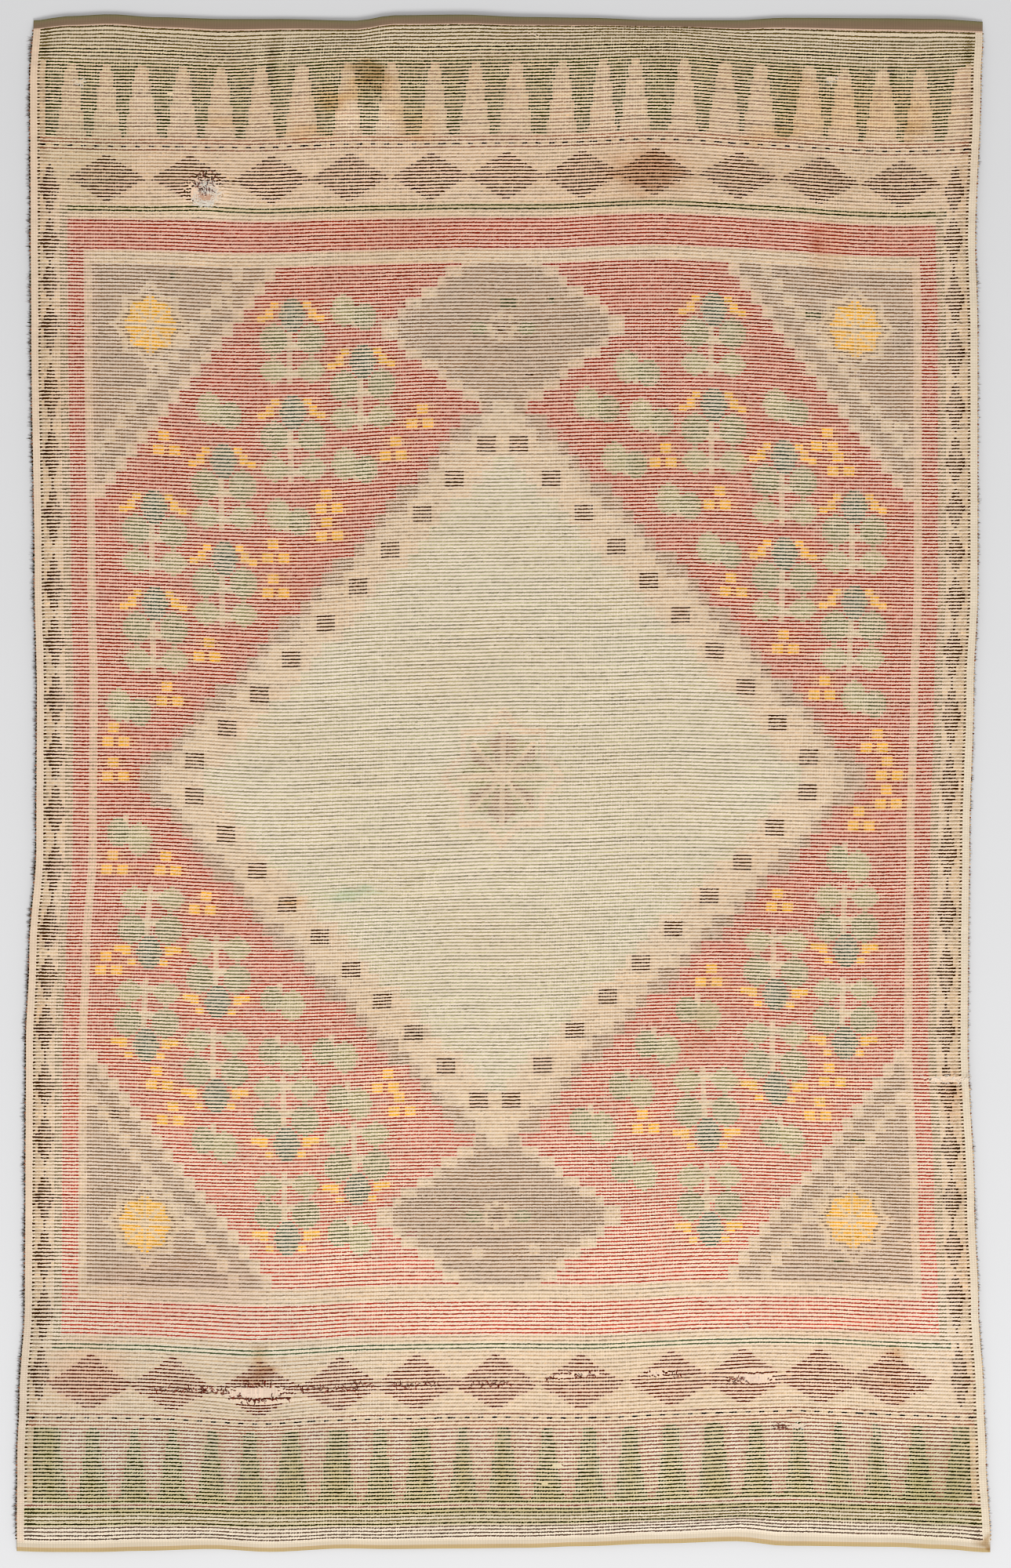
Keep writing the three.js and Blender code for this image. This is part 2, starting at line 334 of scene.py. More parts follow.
def drift(x, y):
    """How far the knot rows stray from straight, towards the head end."""
    stray = np.zeros(np.broadcast(x, y).shape)
    for wave in WANDER:
        turns = x / wave["long"] + y / wave["along"]
        stray += wave["rise"] * np.sin(2 * math.pi * turns + wave["start"])
    for gap in OPENINGS:
        away = y - gap["y"]
        near = np.exp(-(((x - gap["x"]) / gap["long"]) ** 2) - np.abs(away) / gap["reach"])
        stray += gap["gape"] / 2 * np.tanh(away) * near
    for bow in BOWS:
        away = y - bow["y"]
        reach = np.where(away > 0, bow["above"], bow["below"])
        near = np.exp(-(((x - bow["x"]) / bow["long"]) ** 2) - (away / reach) ** 2)
        stray += bow["rise"] * near
    return stray


def cloth_at(across, down):
    """Points of the cloth with its rows' wander, which dies away at the ends."""
    x, y = plan(across, down)
    y = y + drift(x, y) * smooth(from_ends(down) / WANDER_REACH)
    return x, y


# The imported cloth's middle, and this plan's own, settle where the plan lies
cad_low, cad_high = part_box("ground")
PLAN_MIDDLE_X = (column(SIDES, "right").max() - column(SIDES, "left").max()) / 2
PLAN_MIDDLE_Y = (column(ENDS, "head").max() - column(ENDS, "foot").max()) / 2
SHIFT_X = (cad_low.x + cad_high.x) / 2 / MM - PLAN_MIDDLE_X
SHIFT_Y = (cad_low.y + cad_high.y) / 2 / MM - PLAN_MIDDLE_Y


def placed(x, y, z):
    """Points of the plan, in millimetres, as points in the frame, in metres."""
    x, y, z = np.broadcast_arrays(x, y, z)
    return np.stack([x + SHIFT_X, y + SHIFT_Y, z], axis=-1).reshape(-1, 3) * MM


# The knots: how many, and where the first ones lie
ROWS = 435
KNOTS = 345
HEAD_MARGIN = 17
FOOT_MARGIN = 21.5
SIDE_MARGIN = 15.5
KNOT_PITCH = (MEAN_WIDTH - 2 * SIDE_MARGIN) / (KNOTS - 1)

# How far apart the rows of knots were beaten, by row
ROW_SPACING = table(
    "row pitch",
    (0, 5.5),
    (12, 5.55),
    (24, 5.7),
    (42, 5.85),
    (60, 6.0),
    (90, 5.85),
    (126, 6.0),
    (150, 5.9),
    (190, 6.05),
    (210, 5.9),
    (228, 6.2),
    (258, 5.65),
    (270, 5.75),
    (282, 5.55),
    (306, 5.9),
    (330, 5.9),
    (342, 5.45),
    (354, 6.15),
    (366, 6.6),
    (384, 6.5),
    (390, 6.15),
    (402, 6.3),
    (434, 6.1),
)


def row_lines():
    """How far down from the head end each row lies, with one more row before and after."""
    pitch = column_at(ROW_SPACING, "row", "pitch", np.arange(-1, ROWS) + 0.5)
    steps = np.cumsum(pitch)
    knotted = RUG_LENGTH - HEAD_MARGIN - FOOT_MARGIN
    stretch = knotted / (steps[-2] - steps[0])
    return HEAD_MARGIN + (np.concatenate([[0], steps]) - steps[0]) * stretch


ROW_LINES = row_lines()
ROW_INDEX = np.arange(-1, ROWS + 1)


def line_of(row):
    return np.interp(row, ROW_INDEX, ROW_LINES)


def row_at(line):
    return np.interp(line, ROW_LINES, ROW_INDEX)


def across_of(knot):
    return (SIDE_MARGIN + knot * KNOT_PITCH) / MEAN_WIDTH


def down_of(row):
    return line_of(row) / RUG_LENGTH


def linear(colour):
    """A colour of 0 to 255 steps on the screen's curve, as the light that shaders hold."""
    share = np.asarray(colour, float) / 255
    return np.where(share < 0.04045, share / 12.92, ((share + 0.055) / 1.055) ** 2.4)


# The dyed yarns as they have faded on the back, in 0 to 255 steps, and the weft beside each
YARNS = table(
    "name dyed beside",
    ("cream", (184, 156, 122), (235, 213, 187)),
    ("faded rose", (160, 129, 103), (235, 213, 185)),
    ("dark brown", (56, 28, 4), (235, 207, 178)),
    ("maroon", (84, 26, 10), (237, 208, 180)),
    ("dark green", (36, 38, 2), (225, 205, 167)),
    ("line green", (76, 84, 52), (240, 222, 194)),
    ("olive", (36, 34, 0), (211, 193, 147)),
    ("moss", (90, 74, 36), (227, 211, 183)),
    ("deep moss", (40, 34, 6), (231, 213, 177)),
    ("guard green", (118, 100, 68), (239, 222, 197)),
    ("grey green", (98, 94, 56), (230, 214, 184)),
    ("dark leaf", (60, 68, 48), (224, 210, 186)),
    ("light leaf", (132, 122, 80), (232, 216, 186)),
    ("red", (130, 36, 22), (238, 193, 170)),
    ("red at the foot", (176, 66, 48), (243, 221, 195)),
    ("taupe", (128, 98, 70), (222, 200, 178)),
    ("rose", (128, 74, 58), (233, 217, 192)),
    ("mauve", (96, 74, 58), (236, 219, 195)),
    ("mint", (164, 154, 116), (236, 220, 199)),
    ("yellow", (216, 152, 30), (249, 211, 153)),
    ("rust", (140, 92, 66), (235, 213, 184)),
    ("dash brown", (22, 10, 2), (237, 215, 187)),
)
YARN = {yarn["name"]: i for i, yarn in enumerate(YARNS)}
YARN_LIGHT = linear([yarn["dyed"] for yarn in YARNS])
BESIDE_LIGHT = linear([yarn["beside"] for yarn in YARNS])

# What the colours keep, by share of the way from head to foot: a little warmer near the head and darker
# towards the foot
HEAD_TO_FOOT_TONE = table(
    "down red green blue",
    (0.0, 1.02, 0.99, 0.97),
    (0.06, 1.02, 0.99, 0.97),
    (0.1, 1.02, 0.98, 0.96),
    (0.16, 1.0, 1.0, 1.0),
    (0.82, 1.0, 1.0, 1.0),
    (0.92, 0.98, 0.98, 0.98),
    (1.0, 0.95, 0.96, 0.97),
)

# The plain parts round the knots, in 0 to 255 steps. Each end has a band along its edge and a
# strip between that and the knots, with how far in both reach, and the lines of its mesh
SELVEDGES = {"left": (228, 204, 178), "right": (224, 208, 184)}
HEAD_END, FOOT_END = table(
    "strip strip_reach band band_edge band_reach lines",
    ((214, 180, 158), 14.5, (132, 111, 90), (122, 117, 82), 13.6, (0, 1.2, 3, 6, 10, 13.2)),
    ((214, 197, 172), 17.5, (198, 168, 126), (184, 160, 112), 7.5, (0, 1.2, 3, 5, 7, 8, 11, 14)),
)

# The field of the rug in its knots, inside the borders
FIELD = {"left": 11, "right": 332, "head": 57, "foot": 378}

# The two end borders, in rows from the end: full rows, dark bars between pale spires, rust
# rows with a row of dashes among them, stepped diamonds by their middles, and green rows
END_BORDERS = {
    "head": {
        "full_rows": ("moss",) * 6 + ("deep moss",) * 2 + ("moss",) * 2,
        "bars": "dark green",
        "bars_end": 33,
        "spire_yarns": ("cream", "faded rose", "cream"),
        "spires": (12, 25, 38, 53, 67, 82, 97, 114, 130, 146, 161, 176,
                   193, 208, 220, 238, 253, 266, 284, 297, 311, 325, 340),
        "diamond_yarn": "dark brown",
        "diamond_rows": (3, 7, 10, 14, 18, 22, 27, 28, 22, 18, 14, 10, 6, 2),
        "diamonds": (25, 56, 86, 115, 145, 173, 201, 228, 259, 289, 319),
        "green_yarn": "dark green",
        "green_rows": (53, 54),
    },
    "foot": {
        "full_rows": ("mauve",) * 4 + ("olive", "moss", "moss", "olive", "olive", "rose"),
        "bars": "olive",
        "bars_end": 31,
        "spire_yarns": ("rose", "rose", "faded rose"),
        "spires": (17, 32, 46, 60, 74, 88, 104, 121, 135, 151, 165, 181,
                   196, 211, 226, 241, 257, 272, 287, 301, 315, 330),
        "diamond_yarn": "maroon",
        "diamond_rows": (4, 9, 13, 17, 22, 26, 29, 30, 25, 21, 17, 12, 8, 6, 3),
        "diamonds": (22, 52, 84, 113, 141, 170, 201, 234, 260, 288, 314),
        "green_yarn": "line green",
        "green_rows": (52, 53),
    },
}
BARS_INSET = 3
SPIRE = {"tip": 1.3, "base": 5.8, "uneven": 0.5, "flare": 0.8}
RUST_ROWS = (0, 1, 3)
DASH = {"row": 2, "every": 5.1, "long": 2.2}
DIAMONDS_FROM = 5
GREEN_INSET = 8

# The two side borders, in knots from the side: a marked edge, stepped diamonds by the rows
# of their middles, and an inner guard that reaches a little past the field
SIDE_BORDERS = {
    "left": {
        "diamond_knot": 4,
        "guard": (8, 11),
        "middles": (48, 64, 75, 87, 108, 125, 142, 163, 179, 195, 211, 227,
                    242, 261, 275, 291, 308, 323, 341, 358, 373, 389),
    },
    "right": {
        "diamond_knot": 5,
        "guard": (9, 12),
        "middles": (47, 61, 78, 94, 110, 126, 140, 152, 166, 181, 200, 220,
                    239, 256, 274, 292, 309, 326, 341, 356, 368, 391),
    },
}
SIDE_DIAMOND = {"half_knots": 3, "steepness": 3.3, "reach": 10, "tip": 0.95, "outer_pitch": 16}
GUARD_REACH = 4
row_number, knot_number = np.meshgrid(np.arange(ROWS), np.arange(KNOTS), indexing="ij")


def paint_end(end, border, seed):
    """Knots one end border into a chart whose first row is the one nearest that end."""
    for row, yarn in enumerate(border["full_rows"]):
        end[row] = YARN[yarn]
    knots = knot_number[0]
    first, last = len(border["full_rows"]), border["bars_end"]
    end[first:last, BARS_INSET:-BARS_INSET] = YARN[border["bars"]]
    widened = np.random.default_rng(seed).integers(-1, 2, len(border["spires"]))
    for middle, wider in zip(border["spires"], widened):
        for row in range(first + 1, last):
            share = ((row - first) / (last - first)) ** SPIRE["flare"]
            half = SPIRE["tip"] + (SPIRE["base"] + SPIRE["uneven"] * wider - SPIRE["tip"]) * share
            yarn = border["spire_yarns"][(row * row) % len(border["spire_yarns"])]
            end[row, np.abs(knots - middle) <= half] = YARN[yarn]
    for row in RUST_ROWS:
        end[last + row] = YARN["rust"]
    end[last + DASH["row"], knots % DASH["every"] < DASH["long"]] = YARN["dash brown"]
    for middle in border["diamonds"]:
        for step, width in enumerate(border["diamond_rows"]):
            inside = np.abs(knots - middle) <= width / 2
            end[last + DIAMONDS_FROM + step, inside] = YARN[border["diamond_yarn"]]
    for row in border["green_rows"]:
        end[row, GREEN_INSET:-GREEN_INSET] = YARN[border["green_yarn"]]


def paint_side(side, border):
    """Knots one side border into a chart whose first knot is the one nearest that side."""
    first, last = len(END_BORDERS["head"]["full_rows"]), -len(END_BORDERS["foot"]["full_rows"])
    side[first:last, 0] = YARN["dark brown"]
    side[first:last:2, 0] = YARN["guard green"]
    guarded = slice(FIELD["head"] - GUARD_REACH, FIELD["foot"] + GUARD_REACH)
    side[guarded, slice(*border["guard"])] = YARN["guard green"]
    from_middle = np.abs(np.arange(KNOTS) - border["diamond_knot"])
    middles = border["middles"]
    reach = SIDE_DIAMOND["reach"]
    for i, middle in enumerate(middles):
        before = middle - middles[max(i - 1, 0)]
        after = middles[min(i + 1, len(middles) - 1)] - middle
        for row in range(middle - reach, middle + reach + 1):
            pitch = (before if row < middle else after) or SIDE_DIAMOND["outer_pitch"]
            out = abs(row - middle) / (pitch / 2)
            if out < SIDE_DIAMOND["tip"]:
                half = SIDE_DIAMOND["half_knots"] - round(SIDE_DIAMOND["steepness"] * out)
                side[row, from_middle <= max(half, 0)] = YARN["dark brown"]


# The field's own generic design, in steps: a medallion, two pendants and four corner pieces,
# each from its outermost ring to its innermost, with a frame, stars and a ring of squares
MIDDLE_ROW = (FIELD["head"] + FIELD["foot"]) / 2
MIDDLE_KNOT = (FIELD["left"] + FIELD["right"]) / 2
MEDALLION = {"rows": 94, "knots": 114, "step": 4}
MEDALLION_RINGS = ((1.17, "taupe"), (1.12, "cream"), (0.95, "mint"))
PENDANT = {"rows": 26, "knots": 44, "step": 3}
PENDANT_RINGS = ((1, "cream"), (0.88, "taupe"))
PENDANT_OFF = 129
CORNER_STEP = 4
CORNER_RINGS = ((1.4, "cream"), (1.43, "taupe"), (1.475, "cream"), (1.51, "taupe"))
FRAME = {"rows": 9, "knots": 6, "line": 1.35}
SQUARES = {"count": 10, "at": 1.06, "rows": 5, "knots": 7}
STAR = {"waist": 0.68, "ring": 0.86, "petals": 0.72, "slant_seam": 0.05, "seam": 0.06}
MIDDLE_STAR = {
    "half_rows": 20, "half_knots": 24, "yarns": ("cream", "mint", "taupe", "light leaf", "cream")
}
CORNER_STAR = {
    "half_rows": 13, "half_knots": 15, "yarns": ("cream", "taupe", "yellow", "yellow", "cream")
}
CORNER_STAR_INSET = 30
FLECKS = {
    "count": 130, "inset": 3, "from_right": 8, "rows": (1, 4), "knots": (2, 7),
    "yarns": ("dark green", "dark brown", "cream", "cream", "rose"),
}
FOUR_WAYS = ((-1, -1), (-1, 1), (1, -1), (1, 1))

# Small motifs, by their blocks' sizes and their leaves' half sizes. A paired part stands at
# both sides. Where a motif flips, the lower half of the field has it the other way up
MOTIF_PARTS = "shape down across paired rows knots yarn"
MOTIFS = {
    "sprig": table(
        MOTIF_PARTS,
        ("block", 2, 0, False, 20, 2, "cream"),
        ("block", 1, 0, False, 2, 10, "cream"),
        ("block", 9, 0, False, 2, 10, "cream"),
        ("leaf", -1, 7, True, 4.6, 5.6, "grey green"),
        ("leaf", 8, 7, True, 3.6, 5.0, "light leaf"),
        ("block", -8, 8, True, 3, 3, "yellow"),
        ("block", -11, 6, True, 2, 3, "yellow"),
        ("block", -7, 11, True, 2, 3, "yellow"),
        ("leaf", -8, 0, False, 5.4, 5.0, "dark leaf"),
    ),
    "leaves": table(
        MOTIF_PARTS,
        ("block", 3, 0, False, 4, 2, "cream"),
        ("leaf", -1, -4, False, 4.8, 5.0, "light leaf"),
        ("leaf", 1, 4, False, 4.2, 4.6, "grey green"),
    ),
    "berries": table(
        MOTIF_PARTS,
        ("block", -3, 0, False, 3, 4, "yellow"),
        ("block", 1, 3, True, 3, 4, "yellow"),
    ),
    "rosette": table(
        MOTIF_PARTS,
        ("block", 0, 4.4, True, 2, 2, "cream"),
        ("block", 3.6, 0, False, 2, 2, "cream"),
        ("block", -3.6, 0, False, 2, 2, "cream"),
        ("block", 3.6 * math.sqrt(0.5), 4.4 * math.sqrt(0.5), True, 2, 2, "cream"),
        ("block", -3.6 * math.sqrt(0.5), 4.4 * math.sqrt(0.5), True, 2, 2, "cream"),
        ("block", 0, 0, False, 2, 3, "dark brown"),
        ("leaf", 0, 9, True, 2.6, 3.0, "grey green"),
    ),
}

# Where the motifs go: their ground, half-drop spacing, the room that one needs, and flips
STREWN = table(
    "motif ground every_knots every_rows room_knots room_rows flips",
    ("sprig", "red", 26, 28, 13, 13, True),
    ("leaves", "red", 5, 4, 10, 7, True),
    ("berries", "red", 5, 3, 6, 5, False),
    ("rosette", "taupe", 26, 24, 8, 8, False),
    ("leaves", "taupe", 5, 4, 10, 7, True),
)
STREWN_PLACES = {"across": 30, "down": 34}


def stepped(distance, step):
    return np.floor(np.abs(distance) / step) * step


def lozenge(row, knot, rows, knots, step):
    """How far out each knot lies in a stepped lozenge: under 1 inside it."""
    out = stepped(row_number - row, step) / rows
    return out + stepped(knot_number - knot, step) / knots


def paint_rings(field, out, rings):
    for reach, yarn in rings:
        field[out <= reach] = YARN[yarn]


# Under 2, which is an ellipse, so that leaves are a little pointed
LEAF_ROUNDNESS = 1.5


def paint_leaf(field, row, knot, half_rows, half_knots, yarn):
    out = (np.abs(row_number - row) / half_rows) ** LEAF_ROUNDNESS
    out = out + (np.abs(knot_number - knot) / half_knots) ** LEAF_ROUNDNESS
    field[out <= 1] = YARN[yarn]


def paint_block(field, row, knot, rows, knots, yarn):
    top = int(round(row - rows / 2))
    left = int(round(knot - knots / 2))
    field[top : top + rows, left : left + knots] = YARN[yarn]


def paint_motif(field, name, row, knot, flip):
    """Sets a motif's parts round a place, the other way up where flip is -1."""
    painters = {"block": paint_block, "leaf": paint_leaf}
    for part in MOTIFS[name]:
        for side in (-1, 1) if part["paired"] else (flip,):
            at = (row + part["down"] * flip, knot + part["across"] * side)
            painters[part["shape"]](field, *at, part["rows"], part["knots"], part["yarn"])


def strew(field, strewn):
    """Sets one motif on its ground wherever its half-drop places leave it room."""
    most_across, most_down = STREWN_PLACES["across"], STREWN_PLACES["down"]
    for i in range(-most_across, most_across + 1):
        for j in range(-most_down, most_down + 1):
            row = MIDDLE_ROW + (j + 0.5 * (i % 2)) * strewn["every_rows"]
            knot = MIDDLE_KNOT + i * strewn["every_knots"]
            rows = slice(int(row - strewn["room_rows"]), int(row + strewn["room_rows"]))
            knots = slice(int(knot - strewn["room_knots"]), int(knot + strewn["room_knots"]))
            inside = FIELD["head"] <= rows.start and rows.stop <= FIELD["foot"]
            inside = inside and FIELD["left"] <= knots.start and knots.stop <= FIELD["right"]
            if inside and (field[rows, knots] == YARN[strewn["ground"]]).all():
                flip = -1 if strewn["flips"] and row >= MIDDLE_ROW else 1
                paint_motif(field, strewn["motif"], row, knot, flip)


def paint_star(field, row, knot, star):
    """An eight-pointed star in two tones, with pale seams, inside a thin ring."""
    across = np.abs(knot_number - knot) / star["half_knots"]
    down = np.abs(row_number - row) / star["half_rows"]
    square = np.maximum(across, down) / STAR["waist"]
    out = np.minimum(across + down, square)
    outer, ring, light, dark, pale = (YARN[name] for name in star["yarns"])
    field[out <= 1] = outer
    field[out <= STAR["ring"]] = ring
    inner = out <= STAR["petals"]
    petals = (across > down) == (across + down > square)
    field[inner & petals] = light
    field[inner & ~petals] = dark
    seams = np.abs(across - down) < STAR["slant_seam"]
    field[inner & (seams | (np.minimum(across, down) < STAR["seam"]))] = pale


def paint_flecks(field, ground, seed):
    """Short dashes of other yarns, where ends were used up in a ground."""
    dice = np.random.default_rng(seed)
    inset = FLECKS["inset"]
    for _ in range(FLECKS["count"]):
        row = int(dice.integers(FIELD["head"] + inset, FIELD["foot"] - inset))
        knot = int(dice.integers(FIELD["left"] + inset, FIELD["right"] - FLECKS["from_right"]))
        rows = slice(row, row + int(dice.integers(*FLECKS["rows"])))
        knots = slice(knot, knot + int(dice.integers(*FLECKS["knots"])))
        yarn = dice.choice(FLECKS["yarns"])
        if (field[rows, knots] == YARN[ground]).all():
            field[rows, knots] = YARN[str(yarn)]


def paint_field(chart):
    """Knots the field: red ground, medallion, pendants, corner pieces and small motifs."""
    field = np.full(chart.shape, YARN["red"])
    half_rows = (FIELD["foot"] - FIELD["head"]) / 2
    half_knots = (FIELD["right"] - FIELD["left"]) / 2
    corner = lozenge(MIDDLE_ROW, MIDDLE_KNOT, half_rows, half_knots, CORNER_STEP)
    for reach, yarn in CORNER_RINGS:
        field[corner >= reach] = YARN[yarn]
    for side_row, side_knot in FOUR_WAYS:
        star_row = MIDDLE_ROW + side_row * (half_rows - CORNER_STAR_INSET)
        star_knot = MIDDLE_KNOT + side_knot * (half_knots - CORNER_STAR_INSET)
        paint_star(field, star_row, star_knot, CORNER_STAR)

    for side in (-1, 1):
        middle = MIDDLE_ROW + side * PENDANT_OFF
        paint_rings(field, lozenge(middle, MIDDLE_KNOT, **PENDANT), PENDANT_RINGS)
        paint_motif(field, "rosette", middle, MIDDLE_KNOT, 1)

    to_ends = np.minimum(row_number - FIELD["head"], FIELD["foot"] - row_number) / FRAME["rows"]
    to_sides = np.minimum(knot_number - FIELD["left"], FIELD["right"] - knot_number) / FRAME["knots"]
    to_edge = np.minimum(to_ends, to_sides)
    field[to_edge < FRAME["line"]] = YARN["cream"]
    field[to_edge < 1] = YARN["red"]

    paint_rings(field, lozenge(MIDDLE_ROW, MIDDLE_KNOT, **MEDALLION), MEDALLION_RINGS)
    for i in range(SQUARES["count"]):
        share = (i + 0.5) / SQUARES["count"]
        rows_off = MEDALLION["rows"] * SQUARES["at"] * share
        knots_off = MEDALLION["knots"] * SQUARES["at"] * (1 - share)
        for side_row, side_knot in FOUR_WAYS:
            at = (MIDDLE_ROW + side_row * rows_off, MIDDLE_KNOT + side_knot * knots_off)
            paint_block(field, *at, SQUARES["rows"], SQUARES["knots"], "dark brown")
    paint_star(field, MIDDLE_ROW, MIDDLE_KNOT, MIDDLE_STAR)

    for strewn in STREWN:
        strew(field, strewn)
    paint_flecks(field, "taupe", 61)
    rows = slice(FIELD["head"], FIELD["foot"] + 1)
    knots = slice(FIELD["left"], FIELD["right"] + 1)
    chart[rows, knots] = field[rows, knots]


# A darned row of the foot border: where it starts, where it steps up, and its breaks
DARN = {"row": 391, "from": 64, "step_at": 120, "waves": (0.37, 0.11), "broken_under": 0.1}


def knotting_chart():
    """Which yarn each knot is tied in: one row of the chart for each row of knots."""
    chart = np.full((ROWS, KNOTS), YARN["cream"])
    paint_end(chart, END_BORDERS["head"], 11)
    paint_end(chart[::-1], END_BORDERS["foot"], 23)
    paint_side(chart, SIDE_BORDERS["left"])
    paint_side(chart[:, ::-1], SIDE_BORDERS["right"])
    paint_field(chart)
    darned = row_number == DARN["row"] + (knot_number < DARN["step_at"])
    darned = darned & (knot_number > DARN["from"])
    whole = sum(np.sin(knot_number * wave) for wave in DARN["waves"]) > DARN["broken_under"]
    chart[darned & whole] = YARN["rust"]
    return chart


chart = knotting_chart()


# Soft clouds in layers: how strong each layer is, its seed, and its clouds' length and width
CLOUDS = {
    "stains across": ((9, 31, 34, 26), (4, 34, 11, 9)),
    "stains along": ((9, 32, 30, 34), (4, 35, 10, 12)),
    "stain depth": ((0.3, 36, 15, 11),),
    "soiling": ((1, 33, 260, 200),),
    "worn edges": ((0.3, 41, 12, 9), (0.25, 42, 5, 5)),
    "dye streaks": ((0.14, 51, 240, 16), (0.08, 52, 60, 90)),
    "dye warmth": ((1, 53, 180, 120),),
    "weft tone": ((0.03, 61, 50, 40), (0.03, 62, 210, 12)),
    "tuft heading": ((24, 82, 140, 110),),
    "rim reach": ((2.2, 96, 60, 75),),
    "pad height": ((0.2, 121, 5, 4),),
    "pad tone": ((0.12, 122, 4, 3),),
}
CLOUD_WAVES = 9
CLOUD_PITCHES = (0.6, 1.8)


def clouded(value, name, x, y):
    """A value with layers of clouds, each between about -1 and 1 of its strength."""
    for strength, seed, long, wide in CLOUDS[name]:
        dice = np.random.default_rng(seed)
        clouds = np.zeros(np.broadcast(x, y).shape)
        for _ in range(CLOUD_WAVES):
            pitch = dice.uniform(*CLOUD_PITCHES, 2)
            turns = dice.choice((-1, 1)) * x * pitch[0] / long + y * pitch[1] / wide
            clouds += np.sin(math.pi * turns + dice.uniform(0, 2 * math.pi))
        value = value + strength * (clouds / math.sqrt(2 * CLOUD_WAVES))
    return value


def past(value, start, over):
    """How far a value is past a start, from 0 to 1 over a stretch, softly."""
    return smooth((value - start) / over)


TINTS = ("red", "green", "blue")
STAIN_EDGE = (0.12, 0.6)
SOIL_TINT = np.array([0.012, 0.02, 0.03])


def stained(x, y):
    """What a place keeps of each colour, under its stains, the painted shade of one crease, its general
    soiling and a tone that changes from head to foot.
    """
    ragged_x = clouded(x, "stains across", x, y)
    ragged_y = clouded(y, "stains along", x, y)
    patchy = clouded(1, "stain depth", x, y)
    down = 0.5 - y / RUG_LENGTH
    kept = np.stack([column_at(HEAD_TO_FOOT_TONE, "down", tint, down) for tint in TINTS], axis=-1)
    for tint_patch in STAINS_AND_CREASE_SHADE:
        near = past(nearness(tint_patch, ragged_x, ragged_y) * patchy, *STAIN_EDGE)[..., None]
        tint = np.array([tint_patch[name] for name in TINTS])
        kept *= 1 + (tint - 1) * near
    kept *= 1 + clouded(0, "soiling", x, y)[..., None] * SOIL_TINT
    return kept


def wornness(x, y):
    """Over 0.5 where the knots are gone, with a ragged edge."""
    ragged = clouded(1, "worn edges", x, y)
    worn = np.zeros(np.broadcast(x, y).shape)
    for spot in WORN:
        worn = np.maximum(worn, nearness(spot, x, y) * ragged)
    return worn


knot_across = across_of(knot_number)
knot_down = down_of(row_number)
knot_x, knot_y = cloth_at(knot_across, knot_down)

# The reds grow paler from mid-rug on, and the dye takes unevenly from knot to knot
RED_FADES = (0.5, 0.45)
DYE = {"by_knot": 0.13, "by_row": 0.1, "darkest": 0.45, "palest": 1.8}
WARM_TINT = np.array([0.03, -0.01, -0.04])


def faded(colours, down):
    """Colours of yarns by the chart, with the red growing paler towards the foot."""
    pale = (colours[YARN["red at the foot"]] - colours[YARN["red"]]) * past(down, *RED_FADES)
    return colours[chart] + pale * (chart == YARN["red"])[..., None]


def dyed_knots():
    """The colour of each knot: its yarn, the dye lot's streaks, fading, stains, one crease's painted
    shade and the head-to-foot tone.
    """
    colour = faded(YARN_LIGHT, knot_down[..., None])
    dice = np.random.default_rng(5)
    by_knot = dice.normal(0, DYE["by_knot"], chart.shape)
    by_row = np.repeat(dice.normal(0, DYE["by_row"], (ROWS, 1)), KNOTS, axis=1)
    streaks = clouded(0, "dye streaks", knot_x, knot_y)
    tone = np.clip(1 + by_knot + by_row + streaks, DYE["darkest"], DYE["palest"])[..., None]
    warmth = clouded(0, "dye warmth", knot_x, knot_y)[..., None] * WARM_TINT
    return np.clip(colour * tone * (1 + warmth) * stained(knot_x, knot_y), 0, 1)


knot_colour = dyed_knots()


def around(colours, half):
    """Colours evened out along the rows over some knots to either side."""
    padded = np.pad(colours, ((0, 0), (half, half), (0, 0)), mode="edge")
    width = colours.shape[1]
    return sum(padded[:, i : i + width] for i in range(2 * half + 1)) / (2 * half + 1)


# Nodes of materials and of node-made pieces
def add(tree, kind, inputs=None, **settings):
    """A node with its settings, and its inputs given as values or as linked sockets."""
    node = tree.nodes.new(kind)
    for name, value in settings.items():
        setattr(node, name, value)
    for name, value in (inputs or {}).items():
        if isinstance(value, bpy.types.NodeSocket):
            tree.links.new(value, node.inputs[name])
        else:
            node.inputs[name].default_value = value
    return node


def sum_up(tree, operation, first, second=0.0, third=0.0):
    inputs = {0: first, 1: second, 2: third}
    return add(tree, "ShaderNodeMath", inputs, operation=operation).outputs[0]


def tinted(tree, colour, tone):
    """A colour made darker or lighter by a tone round 1."""
    grey = add(tree, "ShaderNodeCombineColor", {0: tone, 1: tone, 2: tone})
    inputs = {0: 1.0, 6: colour, 7: grey.outputs[0]}
    mix = add(tree, "ShaderNodeMix", inputs, data_type="RGBA", blend_type="MULTIPLY")
    return mix.outputs[2]


def toned(tree, socket, low, high):
    inputs = {"Value": socket, "To Min": low, "To Max": high}
    return add(tree, "ShaderNodeMapRange", inputs).outputs[0]


def new_finish(name, roughness, sheen):
    """A matt finish with a soft bloom, and the sockets that its pattern goes to."""
    finish = bpy.data.materials.new(name)
    finish.use_nodes = True
    tree = finish.node_tree
    tree.nodes.clear()
    inputs = {
        "Roughness": roughness,
        "Sheen Weight": sheen,
        "Sheen Roughness": 0.55,
        "Specular IOR Level": 0.0,
    }
    shader = add(tree, "ShaderNodeBsdfPrincipled", inputs)
    add(tree, "ShaderNodeOutputMaterial", {"Surface": shader.outputs[0]})
    return finish, tree, shader


